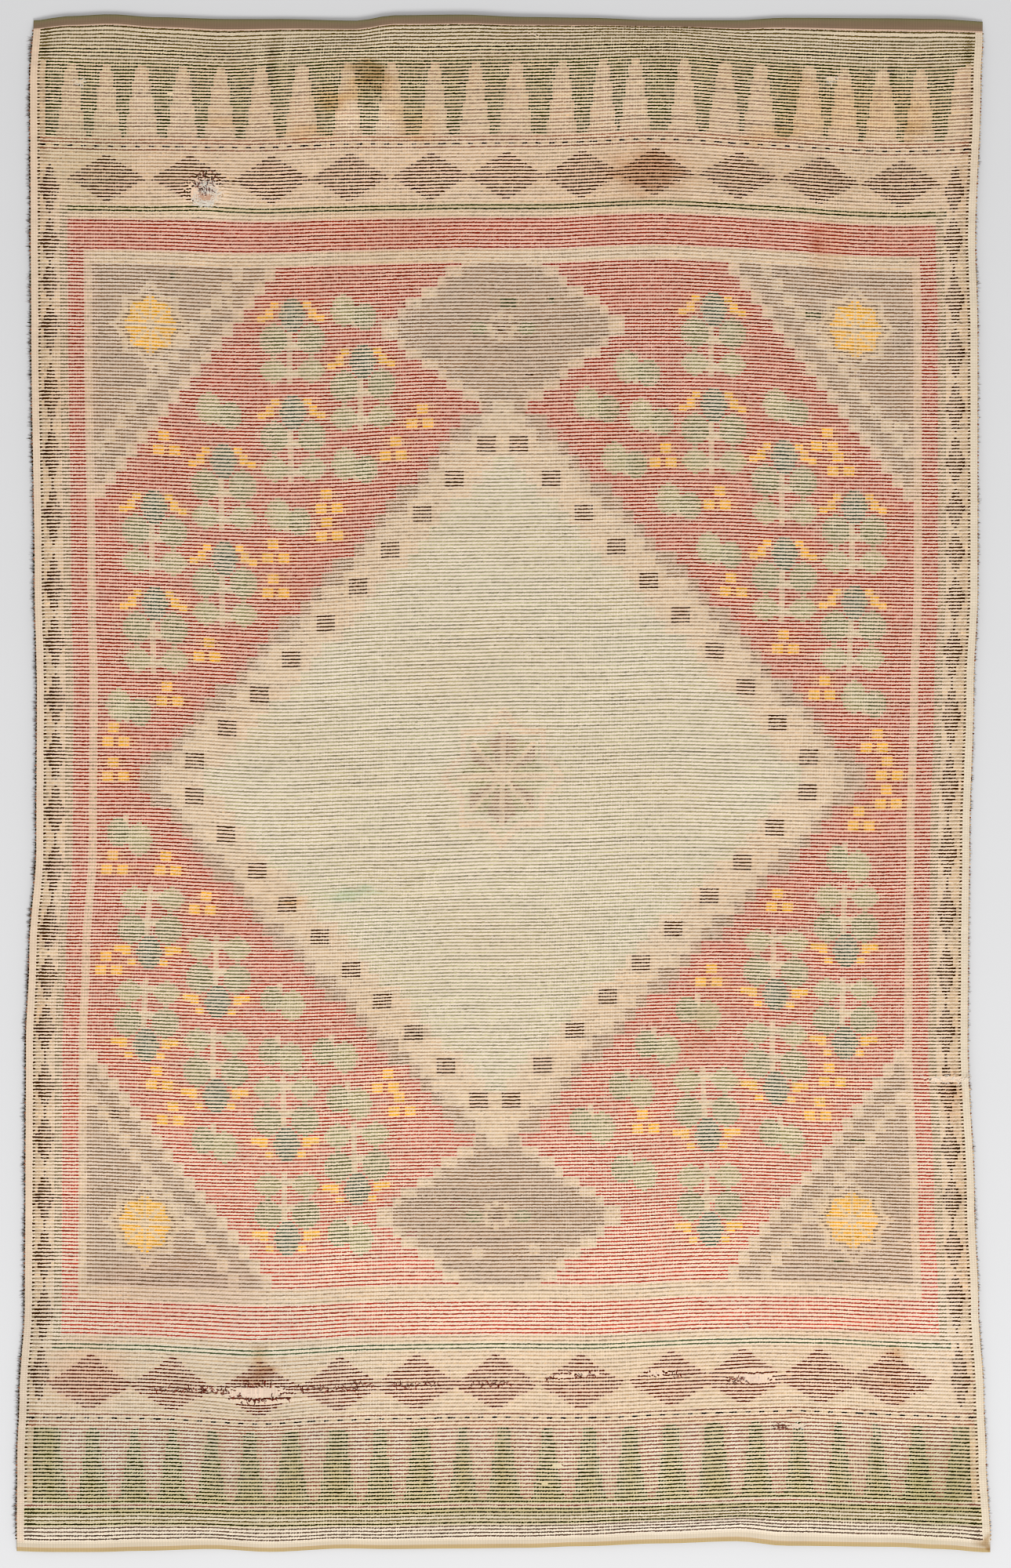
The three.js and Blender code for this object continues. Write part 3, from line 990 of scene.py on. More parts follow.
def fibres(tree, size, detail=4.0):
    """Wool fibres as fine unevenness, of a size in millimetres."""
    coordinates = add(tree, "ShaderNodeTexCoord")
    inputs = {
        "Vector": coordinates.outputs["Object"],
        "Scale": 1 / (size * MM),
        "Detail": detail,
        "Roughness": 0.65,
    }
    return add(tree, "ShaderNodeTexNoise", inputs).outputs[0]


def roughen(tree, shader, height, depth):
    """Raises a pattern by a depth in millimetres."""
    inputs = {"Height": height, "Distance": depth * MM, "Strength": 1.0}
    bump = add(tree, "ShaderNodeBump", inputs)
    tree.links.new(bump.outputs[0], shader.inputs["Normal"])


# How wool's clumps and a weave's fibres vary: sizes, tones round 1 and roughness
CLUMPS = {"larger": 9, "detail": 2.0, "tone": (0.93, 1.07), "smoother": 0.07}
WEAVE_FIBRES = {"size": 0.9, "height": 0.45, "tone": (0.94, 1.06), "roughness": (0.86, 1.0)}


def yarn_finish(name, fibre, depth, tone, roughness=0.92, sheen=0.02):
    """Dyed wool yarn, in the colours that each piece carries."""
    finish, tree, shader = new_finish(name, roughness, sheen)
    dye = add(tree, "ShaderNodeAttribute", attribute_name="dye")
    fine = fibres(tree, fibre)
    coarse = fibres(tree, fibre * CLUMPS["larger"], CLUMPS["detail"])
    coarse_tone = toned(tree, coarse, *CLUMPS["tone"])
    spread = sum_up(tree, "MULTIPLY", toned(tree, fine, *tone), coarse_tone)
    tree.links.new(tinted(tree, dye.outputs["Color"], spread), shader.inputs["Base Color"])
    roughened = toned(tree, coarse, roughness - CLUMPS["smoother"], 1.0)
    tree.links.new(roughened, shader.inputs["Roughness"])
    roughen(tree, shader, fine, depth)
    return finish


def weave_wave(tree, along, offset=0.0):
    """A rounded thread's height, from 0 between threads to 1 on top, for a count of threads."""
    turned = sum_up(tree, "MULTIPLY_ADD", along, math.pi, offset)
    return sum_up(tree, "ABSOLUTE", sum_up(tree, "SINE", turned))


def weave_finish(name, rib_depth, groove_shade, pick_share):
    """The woven ground: warp ribs crossed by finer weft picks, in the cloth's own colours with painted
    shade between the threads and painted light on their tops.
    """
    finish, tree, shader = new_finish(name, 0.95, 0.04)
    dye = add(tree, "ShaderNodeAttribute", attribute_name="dye")
    weave = add(tree, "ShaderNodeUVMap", uv_map="Weave")
    threads = add(tree, "ShaderNodeSeparateXYZ", {0: weave.outputs[0]})
    pick = threads.outputs[1]
    brick = sum_up(tree, "MULTIPLY", sum_up(tree, "FLOOR", pick), math.pi / 2)
    rib = weave_wave(tree, threads.outputs[0], brick)
    weft = weave_wave(tree, pick)
    pair = weave_wave(tree, sum_up(tree, "MULTIPLY", threads.outputs[0], 0.5))
    warp = sum_up(tree, "MULTIPLY", sum_up(tree, "ADD", rib, pair), (1 - pick_share) / 2)
    crossed = sum_up(tree, "MULTIPLY_ADD", weft, pick_share, warp)
    fine = fibres(tree, WEAVE_FIBRES["size"])
    height = sum_up(tree, "MULTIPLY_ADD", fine, WEAVE_FIBRES["height"], crossed)
    fine_tone = toned(tree, fine, *WEAVE_FIBRES["tone"])
    # The colour is painted darker between the threads and lighter on their tops: painted shade and
    # painted light.
    shade = sum_up(tree, "MULTIPLY", toned(tree, crossed, *groove_shade), fine_tone)
    tree.links.new(tinted(tree, dye.outputs["Color"], shade), shader.inputs["Base Color"])
    roughened = toned(tree, fine, *WEAVE_FIBRES["roughness"])
    tree.links.new(roughened, shader.inputs["Roughness"])
    roughen(tree, shader, height, rib_depth)
    return finish


# Both weaves paint shade between their threads and light on their tops, the end band's more strongly.
WOVEN_BACK = weave_finish("woven wool ground", rib_depth=0.7, groove_shade=(0.8, 1.08), pick_share=0.3)
END_WEAVE = weave_finish("ribbed end band", rib_depth=0.9, groove_shade=(0.7, 1.12), pick_share=0.12)
KNOTTED_WOOL = yarn_finish("knotted wool yarn", fibre=0.8, depth=0.35, tone=(0.86, 1.14))
PILE_WOOL = yarn_finish("lying wool pile", fibre=1.1, depth=0.8, tone=(0.72, 1.28), sheen=0.1)
FRAYED_WOOL = yarn_finish("frayed wool thread", fibre=0.5, depth=0.25, tone=(0.8, 1.15))


# Meshes, and the margin that a map for baking keeps round each
MAP_EDGE = 0.005


def new_piece(name, mesh, slot, *finishes):
    piece = bpy.data.objects.new(name, mesh)
    bpy.context.scene.collection.objects.link(piece)
    mesh.materials.clear()
    for finish in finishes:
        mesh.materials.append(finish)
    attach(piece, BODY)
    return piece


def carry(mesh, name, kind, field, values):
    """Puts one value for each point on a mesh under a name."""
    attribute = mesh.attributes.new(name, kind, "POINT")
    attribute.data.foreach_set(field, np.asarray(values, np.float32).ravel())


def dye(mesh, colours):
    colours = colours.reshape(-1, 3)
    opaque = np.ones((len(colours), 1))
    carry(mesh, "dye", "FLOAT_COLOR", "color", np.hstack([colours, opaque]))


def corner_points(mesh):
    index = np.empty(len(mesh.loops), np.int32)
    mesh.loops.foreach_get("vertex_index", index)
    return index


def map_flat(mesh, name, flat):
    """A UV map that takes each point's own place on a flat sheet."""
    layer = mesh.uv_layers.new(name=name)
    layer.data.foreach_set("uv", flat[corner_points(mesh)].astype(np.float32).ravel())


def map_from_above(mesh):
    """A UV map that looks straight down on a piece and fills its square."""
    points = np.empty(len(mesh.vertices) * 3, np.float32)
    mesh.vertices.foreach_get("co", points)
    flat = points.reshape(-1, 3)[:, :2]
    low, high = flat.min(0), flat.max(0)
    map_flat(mesh, "OFBake", MAP_EDGE + (1 - 2 * MAP_EDGE) * (flat - low) / (high - low))


def both_sides(top, bottom):
    """A closed sheet's values by its points: the upper grid's, then the lower one's."""
    return np.concatenate([side.reshape(-1, side.shape[-1]) for side in (top, bottom)])


def closed_sheet(name, top, bottom, step):
    """A closed mesh between an upper grid and a lower one that has every few of its lines."""
    lines, columns = top.shape[:2]
    low_lines = bottom.shape[0]
    points = both_sides(top, bottom)
    upper = np.arange(lines * columns).reshape(lines, columns)
    lower = upper.size + np.arange(low_lines * columns).reshape(low_lines, columns)

    def quads(a, b, c, d):
        return np.stack([a, b, c, d], axis=-1).reshape(-1, 4).tolist()

    faces = quads(upper[:-1, :-1], upper[1:, :-1], upper[1:, 1:], upper[:-1, 1:])
    faces += quads(lower[:-1, :-1], lower[:-1, 1:], lower[1:, 1:], lower[1:, :-1])
    faces += quads(upper[0, 1:], lower[0, 1:], lower[0, :-1], upper[0, :-1])
    faces += quads(upper[-1, :-1], lower[-1, :-1], lower[-1, 1:], upper[-1, 1:])
    for j in range(low_lines - 1):
        start, stop = j * step, min((j + 1) * step, lines - 1)
        middle = (start + stop) // 2
        for edge, turned in ((0, False), (columns - 1, True)):
            near, far = lower[j, edge], lower[j + 1, edge]
            wall = [(upper[i, edge], near, upper[i + 1, edge]) for i in range(start, middle)]
            wall.append((upper[middle, edge], near, far))
            wall += [(upper[i, edge], far, upper[i + 1, edge]) for i in range(middle, stop)]
            faces += [face[::-1] if turned else face for face in wall]
    mesh = bpy.data.meshes.new(name)
    mesh.from_pydata(points.tolist(), [], [[int(i) for i in face] for face in faces])
    mesh.shade_smooth()
    mesh.set_sharp_from_angle(angle=math.radians(60))
    return mesh


# The woven ground: heights over its underside, how far in they rise, and its mesh and weave
CLOTH = {"knotted": 2.45, "plain": 2.2, "edge": 0.9, "crest": 0.42}
KNOTTED_FROM = {"side": (9, 5), "end": (13, 4)}
ROUNDED_EDGE = {"reach": 3, "start": 0.05}
EDGE_COLUMNS = (0, 1.1, 2.6, 5.5, 9, 12, 13.4)
COLUMN_PITCH = 21.8
UNDERSIDE_STEP = 8
RIB_PITCH = 2.35
PICKS_A_ROW = 3
TOP_SHARE = 0.86

# The ground's colours: knots that dye the weft, the selvedge's inner edge, and worn places
DYEING_KNOTS = 3
SELVEDGE_END = (12, 1.4)
BAND_EDGE_REACH = 9
BARE = {"colour": (236, 212, 192), "share": 0.7, "from": (0.35, 0.4)}


def ground_lines():
    """How far down from the head end each line of the ground's mesh lies."""
    half_rows = line_of(np.arange(-0.5, ROWS, 0.5))
    foot_lines = RUG_LENGTH - np.array(FOOT_END["lines"][::-1])
    return np.concatenate([HEAD_END["lines"], half_rows, foot_lines])


def ground_columns():
    edge = np.array(EDGE_COLUMNS)
    inner = MEAN_WIDTH - 2 * edge[-1]
    count = round(inner / COLUMN_PITCH)
    between = edge[-1] + inner * np.arange(1, count) / count
    return np.concatenate([edge, between, MEAN_WIDTH - edge[::-1]])


def ground_heights(across, down, line):
    """How high the cloth stands over its underside: crests of weft between rows of knots."""
    to_side = from_sides(across)
    to_end = from_ends(down)
    knotted = past(to_side, *KNOTTED_FROM["side"]) * past(to_end, *KNOTTED_FROM["end"])
    crest = -np.cos(2 * math.pi * row_at(line)) * CLOTH["crest"]
    height = CLOTH["plain"] + (CLOTH["knotted"] - CLOTH["plain"]) * knotted + crest * knotted
    share = np.minimum(to_side, to_end) / ROUNDED_EDGE["reach"] + ROUNDED_EDGE["start"]
    return CLOTH["edge"] + (height - CLOTH["edge"]) * np.sqrt(smooth(share))


def knots_at(across, line):
    """The place among the rows, and the nearest knot across, at places of the cloth."""
    row = np.clip(row_at(line), 0, ROWS - 1)
    knot = np.clip((across * MEAN_WIDTH - SIDE_MARGIN) / KNOT_PITCH, 0, KNOTS - 1)
    return row, np.round(knot).astype(int)


def ground_colours(x, y, across, line):
    """The weft with a breath of the knots' dye, the end bands, the selvedges, the stains, one crease's
    painted shade and the head-to-foot tone.
    """
    row, knot = knots_at(across, line)
    beside = around(faded(BESIDE_LIGHT, knot_down[..., None]), DYEING_KNOTS)
    above = np.floor(row).astype(int)
    below = np.ceil(row).astype(int)
    colour = (beside[above, knot] + beside[below, knot]) / 2

    plain = 1 - past(from_sides(across), *SELVEDGE_END)[..., None]
    left, right = linear(SELVEDGES["left"]), linear(SELVEDGES["right"])
    colour = colour + (np.where((across < 0.5)[..., None], left, right) - colour) * plain
    for distance, end in ((line, HEAD_END), (RUG_LENGTH - line, FOOT_END)):
        strip, band, band_edge = (linear(end[name]) for name in ("strip", "band", "band_edge"))
        colour = np.where((distance < end["strip_reach"])[..., None], strip, colour)
        inner = smooth(distance / BAND_EDGE_REACH)[..., None]
        in_band = (distance < end["band_reach"])[..., None]
        colour = np.where(in_band, band_edge + (band - band_edge) * inner, colour)
    tone = 1 + clouded(0, "weft tone", x, y)
    colour = colour * tone[..., None] * stained(x, y)
    pale = past(wornness(x, y), *BARE["from"])[..., None]
    return np.clip(colour + (linear(BARE["colour"]) - colour) * pale * BARE["share"], 0, 1)


def band_rows(end):
    """How many rows of the mesh's faces an end band covers."""
    return sum(line < end["band_reach"] for line in end["lines"]) - 1


def woven_ground():
    """The cloth as one closed thin sheet, with the ribs that its rows of knots leave."""
    line, place = np.meshgrid(ground_lines(), ground_columns(), indexing="ij")
    across = place / MEAN_WIDTH
    down = line / RUG_LENGTH
    x, y = cloth_at(across, down)
    under = underside(x, y, across, down)
    top = placed(x, y, under + ground_heights(across, down, line)).reshape(*x.shape, 3)
    kept = np.append(np.arange(0, len(x) - 1, UNDERSIDE_STEP), len(x) - 1)
    bottom = placed(x, y, under).reshape(*x.shape, 3)[kept]
    mesh = closed_sheet("woven_ground", top, bottom, UNDERSIDE_STEP)

    colour = ground_colours(x, y, across, line)
    dye(mesh, both_sides(colour, np.broadcast_to(linear(FOOT_END["strip"]), colour[kept].shape)))
    weave = np.stack([place / RIB_PITCH, row_at(line) * PICKS_A_ROW], axis=-1)
    map_flat(mesh, "Weave", both_sides(weave, weave[kept]))
    spread = np.stack([across * TOP_SHARE, 1 - down], axis=-1)
    folded = TOP_SHARE + 2 * MAP_EDGE + across[kept] * (1 - 2 * MAP_EDGE - TOP_SHARE)
    map_flat(mesh, "OFBake", both_sides(spread, np.stack([folded, 1 - down[kept]], axis=-1)))

    row_faces = x.shape[1] - 1
    top_faces = (len(x) - 1) * row_faces
    in_band = np.zeros(len(mesh.polygons), np.int32)
    in_band[: band_rows(HEAD_END) * row_faces] = 1
    in_band[top_faces - band_rows(FOOT_END) * row_faces : top_faces] = 1
    mesh.polygons.foreach_set("material_index", in_band)
    return new_piece("woven_ground", mesh, "woven_back", WOVEN_BACK, END_WEAVE)


# Pieces that Geometry Nodes plant on points or draw along paths
def node_tree(name, sizes):
    """An empty tree with geometry in and out and a named input for each size."""
    tree = bpy.data.node_groups.new(name, "GeometryNodeTree")
    tree.interface.new_socket("Geometry", in_out="INPUT", socket_type="NodeSocketGeometry")
    for size, kind in sizes.items():
        tree.interface.new_socket(size, in_out="INPUT", socket_type=kind)
    tree.interface.new_socket("Geometry", in_out="OUTPUT", socket_type="NodeSocketGeometry")
    return tree, add(tree, "NodeGroupInput").outputs


def finish_tree(tree, geometry, finish):
    """Ends a tree: real mesh, smooth, with its finish."""
    real = add(tree, "GeometryNodeRealizeInstances", {"Geometry": geometry})
    clean = add(tree, "GeometryNodeRemoveAttribute", {"Geometry": real.outputs[0], "Name": "turn"})
    soft = add(tree, "GeometryNodeSetShadeSmooth", {"Geometry": clean.outputs[0]})
    dressed = add(tree, "GeometryNodeSetMaterial", {"Geometry": soft.outputs[0], "Material": finish})
    add(tree, "NodeGroupOutput", {"Geometry": dressed.outputs[0]})
    return tree


def scaled(tree, geometry, along, aside, up):
    """Geometry stretched by three sockets of sizes."""
    scale = add(tree, "ShaderNodeCombineXYZ", {0: along, 1: aside, 2: up})
    inputs = {"Geometry": geometry, "Scale": scale.outputs[0]}
    return add(tree, "GeometryNodeTransform", inputs).outputs[0]


def cone(tree, sides, fill):
    inputs = {"Vertices": sides, "Radius Top": 0.0, "Radius Bottom": 1.0, "Depth": 1.0}
    return add(tree, "GeometryNodeMeshCone", inputs, fill_type=fill).outputs["Mesh"]


def plant(tree, sizes, grain):
    """Sets one grain on each point, turned as the point says and a little uneven in size."""
    inputs = {"Name": "turn"}
    turn = add(tree, "GeometryNodeInputNamedAttribute", inputs, data_type="FLOAT_VECTOR")
    turned = add(tree, "FunctionNodeEulerToRotation", {0: turn.outputs["Attribute"]})
    inputs = {"Seed": sizes["Seed"]}
    for limit, operation in (("Min", "SUBTRACT"), ("Max", "ADD")):
        size = sum_up(tree, operation, 1.0, sizes["Unevenness"])
        same = add(tree, "ShaderNodeCombineXYZ", {0: size, 1: size, 2: size})
        inputs[limit] = same.outputs[0]
    chance = add(tree, "FunctionNodeRandomValue", inputs, data_type="FLOAT_VECTOR")
    inputs = {
        "Points": sizes["Geometry"],
        "Instance": grain,
        "Rotation": turned.outputs[0],
        "Scale": chance.outputs[0],
    }
    return add(tree, "GeometryNodeInstanceOnPoints", inputs).outputs[0]


PLANTED = dict.fromkeys(("Length", "Width", "Height", "Unevenness"), "NodeSocketFloat")
PLANTED["Seed"] = "NodeSocketInt"


def planted_sizes(length, width, height, spread, seed):
    """What a planting tree's inputs take, from sizes in millimetres."""
    return dict(zip(PLANTED, (length * MM, width * MM, height * MM, spread, seed)))


def knot_tree(finish):
    """A knot's back: a low four-sided bump, with its open base sunk in the ground."""
    tree, sizes = node_tree("knot backs", PLANTED)
    inputs = {"Geometry": cone(tree, 4, "NONE"), "Rotation": (0, 0, math.radians(45))}
    squared = add(tree, "GeometryNodeTransform", inputs)
    length = sum_up(tree, "DIVIDE", sizes["Length"], math.sqrt(2))
    width = sum_up(tree, "DIVIDE", sizes["Width"], math.sqrt(2))
    grain = scaled(tree, squared.outputs[0], length, width, sizes["Height"])
    return finish_tree(tree, plant(tree, sizes, grain), finish)


def tuft_tree(finish):
    """A tuft of pile: a three-sided lock from its root to its tip."""
    tree, sizes = node_tree("pile tufts", PLANTED)
    width = sum_up(tree, "DIVIDE", sizes["Width"], 2.0)
    height = sum_up(tree, "DIVIDE", sizes["Height"], 2.0)
    grain = scaled(tree, cone(tree, 3, "NGON"), width, height, sizes["Length"])
    return finish_tree(tree, plant(tree, sizes, grain), finish)


def strand_tree(finish):
    """Strands of yarn drawn along paths."""
    tree, sizes = node_tree("yarn strands", {"Thickness": "NodeSocketFloat"})
    path = add(tree, "GeometryNodeMeshToCurve", {0: sizes["Geometry"]})
    radius = sum_up(tree, "DIVIDE", sizes["Thickness"], 2.0)
    ring = add(tree, "GeometryNodeCurvePrimitiveCircle", {"Resolution": 4, "Radius": radius})
    inputs = {
        "Curve": path.outputs[0],
        "Profile Curve": ring.outputs[0],
        "Fill Caps": True,
    }
    tube = add(tree, "GeometryNodeCurveToMesh", inputs)
    return finish_tree(tree, tube.outputs[0], finish)


def grown(name, seedbed, tree, sizes, slot, finish):
    """The plain mesh that a tree makes on a seedbed of points or paths, as a piece."""
    source = bpy.data.objects.new(name + "_seedbed", seedbed)
    bpy.context.scene.collection.objects.link(source)
    maker = source.modifiers.new("maker", "NODES")
    maker.node_group = tree
    for item in tree.interface.items_tree:
        if item.in_out == "INPUT" and item.name in sizes:
            maker[item.identifier] = sizes[item.name]
    graph = bpy.context.evaluated_depsgraph_get()
    mesh = bpy.data.meshes.new_from_object(source.evaluated_get(graph))
    source.modifiers.remove(maker)
    bpy.data.objects.remove(source)
    mesh.name = name
    mesh.polygons.foreach_set("material_index", np.zeros(len(mesh.polygons), np.int32))
    map_from_above(mesh)
    return new_piece(name, mesh, slot, finish)


def seedbed_of(name, points, turns, colours):
    mesh = bpy.data.meshes.new(name)
    mesh.from_pydata(points.tolist(), [], [])
    carry(mesh, "turn", "FLOAT_VECTOR", "vector", turns)
    dye(mesh, colours)
    return mesh


KNOT = {"length": 5.3, "width": 3.4, "height": 1.7, "spread": 0.14, "seat": 1.9, "slant": 9}

# How unevenly knots are tied, in radians and millimetres, and how far torn ones stray
UNEVEN = {"slant": 0.14, "roll": 0.12, "pitch": 0.06, "height": 0.1, "nudge": 0.16}
TORN = {"from": (0.12, 0.3), "slant": 0.7, "nudge": 1.3}
GONE_FROM = 0.5

# The knots in pieces of under fifty thousand, by the rows that each holds
KNOT_PIECES = {
    "head_border_knots": (0, 57),
    "upper_field_knots": (57, 164),
    "middle_field_knots": (164, 272),
    "lower_field_knots": (272, 379),
    "foot_border_knots": (379, 435),
}


def knot_backs():
    """Every knot of the back, tied through the ground in its row and colour."""
    dice = np.random.default_rng(71)

    def stray(most):
        return dice.normal(0, most, chart.shape)

    under = underside(knot_x, knot_y, knot_across, knot_down)
    slope = np.gradient(knot_y, axis=1) / np.gradient(knot_x, axis=1)
    slant = math.radians(KNOT["slant"]) + stray(UNEVEN["slant"])
    yaw = np.arctan(slope) + slant
    roll = stray(UNEVEN["roll"])
    pitch = stray(UNEVEN["pitch"])
    height = under + KNOT["seat"] + stray(UNEVEN["height"])
    worn = wornness(knot_x, knot_y)
    torn = past(worn, *TORN["from"])
    yaw = yaw + torn * stray(TORN["slant"])
    nudge = stray(UNEVEN["nudge"]) + torn * stray(TORN["nudge"])
    points = placed(knot_x, knot_y + nudge, height).reshape(ROWS, KNOTS, 3)
    turns = np.stack([roll, pitch, yaw], axis=-1)
    tree = knot_tree(KNOTTED_WOOL)
    own = [KNOT[name] for name in ("length", "width", "height", "spread")]
    pieces = []
    for seed, (name, (first, last)) in enumerate(KNOT_PIECES.items()):
        rows = slice(first, last)
        here = worn[rows] < GONE_FROM
        bed = seedbed_of(name, points[rows][here], turns[rows][here], knot_colour[rows][here])
        sizes = planted_sizes(*own, seed)
        pieces.append(grown(name, bed, tree, sizes, "woven_back", KNOTTED_WOOL))
    return pieces


# The pile: a mat that fills the space under the cloth, its colour darkened as painted shade, and the
# tufts that lie on the floor
LUMP = {"pitch_x": 250, "pitch_y": 220, "hollow": 4.5, "level": 0.1, "flat": 230}
SHADED_MAT = {"cells_across": 66, "cells_down": 104, "floor": 2.2, "least": 1.5, "tone": 0.8}
TUFT = {
    "length": 28, "width": 5.3, "pitch": 12.3, "lean": 4.5, "spread": 0.16, "seat": 0.6,
    "raised": 0.5, "shaken": 0.3, "turn": 16,
}
TUFTS_INSET = {"side": 20, "end": 6}
TUFT_TONE = {"spread": 0.16, "darkest": 0.55, "palest": 1.5}
PILE_DEPTH_OF_COLOUR = 0.8


def lump_height(x, y):
    """How far the pile's underside is off the floor: nothing on its lumps and mid-rug."""
    waves = np.sin(x / LUMP["pitch_x"] * 2 * math.pi + y / LUMP["pitch_y"])
    cross = np.sin(y / LUMP["pitch_y"] * 2 * math.pi - x / LUMP["pitch_x"])
    hollow = np.clip(((waves + cross) / 2 - LUMP["level"]) / (1 - LUMP["level"]), 0, 1)
    from_middle = np.hypot(x, y) / LUMP["flat"]
    return LUMP["hollow"] * hollow * smooth(from_middle - 1)


def pile_colour(across, down):
    """The pile's own colour at a place, deeper than the back's."""
    row, knot = knots_at(across, down * RUG_LENGTH)
    return YARN_LIGHT[chart][np.round(row).astype(int), knot] * PILE_DEPTH_OF_COLOUR


def pile_mat():
    inset_x, inset_y = SELVEDGE / MEAN_WIDTH, END_BAND / RUG_LENGTH
    shares_down = np.linspace(inset_y, 1 - inset_y, SHADED_MAT["cells_down"] + 1)
    shares_across = np.linspace(inset_x, 1 - inset_x, SHADED_MAT["cells_across"] + 1)
    down, across = np.meshgrid(shares_down, shares_across, indexing="ij")
    x, y = plan(across, down)
    top_z = underside(x, y, across, down) - GAP
    floor_z = np.minimum(SHADED_MAT["floor"] + lump_height(x, y), top_z - SHADED_MAT["least"])
    top = placed(x, y, top_z).reshape(*x.shape, 3)
    bottom = placed(x, y, floor_z).reshape(*x.shape, 3)
    mesh = closed_sheet("pile_mat", top, bottom, 1)
    # The mat's tone makes it darker than the tufts' colour: painted shade under the cloth.
    colour = pile_colour(across, down) * SHADED_MAT["tone"]
    dye(mesh, both_sides(colour, colour))
    map_from_above(mesh)
    piece = new_piece("pile_mat", mesh, "wool_pile", PILE_WOOL)
    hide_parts("pile")
    return piece


def tuft_bed(name, x, y, z, heading, lean, colours):
    """Roots of tufts: heading is the way that a tuft lies, in degrees round from the foot."""
    yaw = np.radians(heading)
    tilt = math.pi / 2 + np.radians(lean)
    turns = np.stack([np.broadcast_to(tilt, x.shape), np.zeros(x.shape), yaw], axis=-1)
    return seedbed_of(name, placed(x, y, z), turns.reshape(-1, 3), colours)


def pile_tufts(tree):
    """The tufts that the rug lies on, combed towards the foot."""
    dice = np.random.default_rng(81)
    side_inset = SELVEDGE + TUFTS_INSET["side"]
    end_inset = END_BAND + TUFTS_INSET["end"]
    inner_width = MEAN_WIDTH - 2 * side_inset
    inner_length = RUG_LENGTH - end_inset - TUFT["length"] - TUFTS_INSET["end"]
    rows = int(inner_length / TUFT["pitch"]) + 1
    tufts = int(inner_width / TUFT["pitch"])
    row, tuft = np.meshgrid(np.arange(rows), np.arange(tufts), indexing="ij")
    stagger = 0.5 * (row % 2)
    shake = dice.uniform(-TUFT["shaken"], TUFT["shaken"], (2,) + row.shape)
    across = (side_inset + (tuft + stagger + shake[0]) * TUFT["pitch"]) / MEAN_WIDTH
    down = (end_inset + (row + shake[1]) * TUFT["pitch"]) / RUG_LENGTH
    x, y = plan(across, down)
    z = lump_height(x, y) + TUFT["seat"] * TUFT["width"]
    z = z + dice.uniform(0, TUFT["raised"], x.shape)
    heading = clouded(0, "tuft heading", x, y) + dice.normal(0, TUFT["turn"], x.shape)
    tone = dice.normal(1, TUFT_TONE["spread"], x.shape)
    tone = np.clip(tone, TUFT_TONE["darkest"], TUFT_TONE["palest"])[..., None]
    colour = np.clip(pile_colour(across, down) * tone, 0, 1)
    bed = tuft_bed("pile_tufts", x, y, z, heading, TUFT["lean"], colour)
    sizes = planted_sizes(TUFT["length"], TUFT["width"], TUFT["width"], TUFT["spread"], 3)
    return grown("pile_tufts", bed, tree, sizes, "wool_pile", PILE_WOOL)


# The rim: which way each side's tufts lie, how far they reach past the cloth, how far in they
# root, and their yarns
SIDE_ROOTS = SELVEDGE + 12
END_ROOTS = END_BAND + 6
RIM_SIDES = table(
    "side heading reach inset yarns",
    ("left", -90, 6, SIDE_ROOTS, ("rust", "moss", "guard green", "rust", "taupe")),
    ("right", 90, 3, SIDE_ROOTS, ("cream", "faded rose", "cream", "cream")),
    ("head", 180, -4, END_ROOTS, ("moss", "dark green", "deep moss")),
    ("foot", 0, -4, END_ROOTS, ("moss", "dark green", "rose")),
)
LONG_SIDES = ("left", "right")
CLEAR_OF_CORNERS = 0.012

# The locks' sizes in millimetres, with the shares of the height that their layers root at,
# the most that they lean, and the degrees that they turn aside
RIM = {
    "pitch": 4.6, "layers": (0.3, 0.58, 0.84), "layer_step": 3, "ragged": 1.5, "lowest": 2.8,
    "under": 1, "tips": 1.2, "most_lean": 0.6, "turn": 14, "width": 5.4, "height": 4.6,
    "spread": 0.15,
}
YARN_TONE = {"spread": 0.2, "darkest": 0.5, "palest": 1.6}


def rim_places(side, count, inset):
    """Shares of the plan along one side, some way in from the cloth's edge."""
    along = CLEAR_OF_CORNERS + (1 - 2 * CLEAR_OF_CORNERS) * (np.arange(count) + 0.5) / count
    inside = np.full(count, inset / (MEAN_WIDTH if side in LONG_SIDES else RUG_LENGTH))
    edge = inside if side in ("left", "head") else 1 - inside
    return (edge, along) if side in LONG_SIDES else (along, edge)


def picked_yarns(names, count, dice):
    picked = YARN_LIGHT[dice.choice([YARN[name] for name in names], count)]
    tone = dice.normal(1, YARN_TONE["spread"], (count, 1))
    return np.clip(picked * np.clip(tone, YARN_TONE["darkest"], YARN_TONE["palest"]), 0, 1)


def leaning(share, most):
    """The lean, in degrees, of a tuft whose tip is lower by that share of its length."""
    return np.degrees(np.arcsin(np.clip(share, 0, most)))


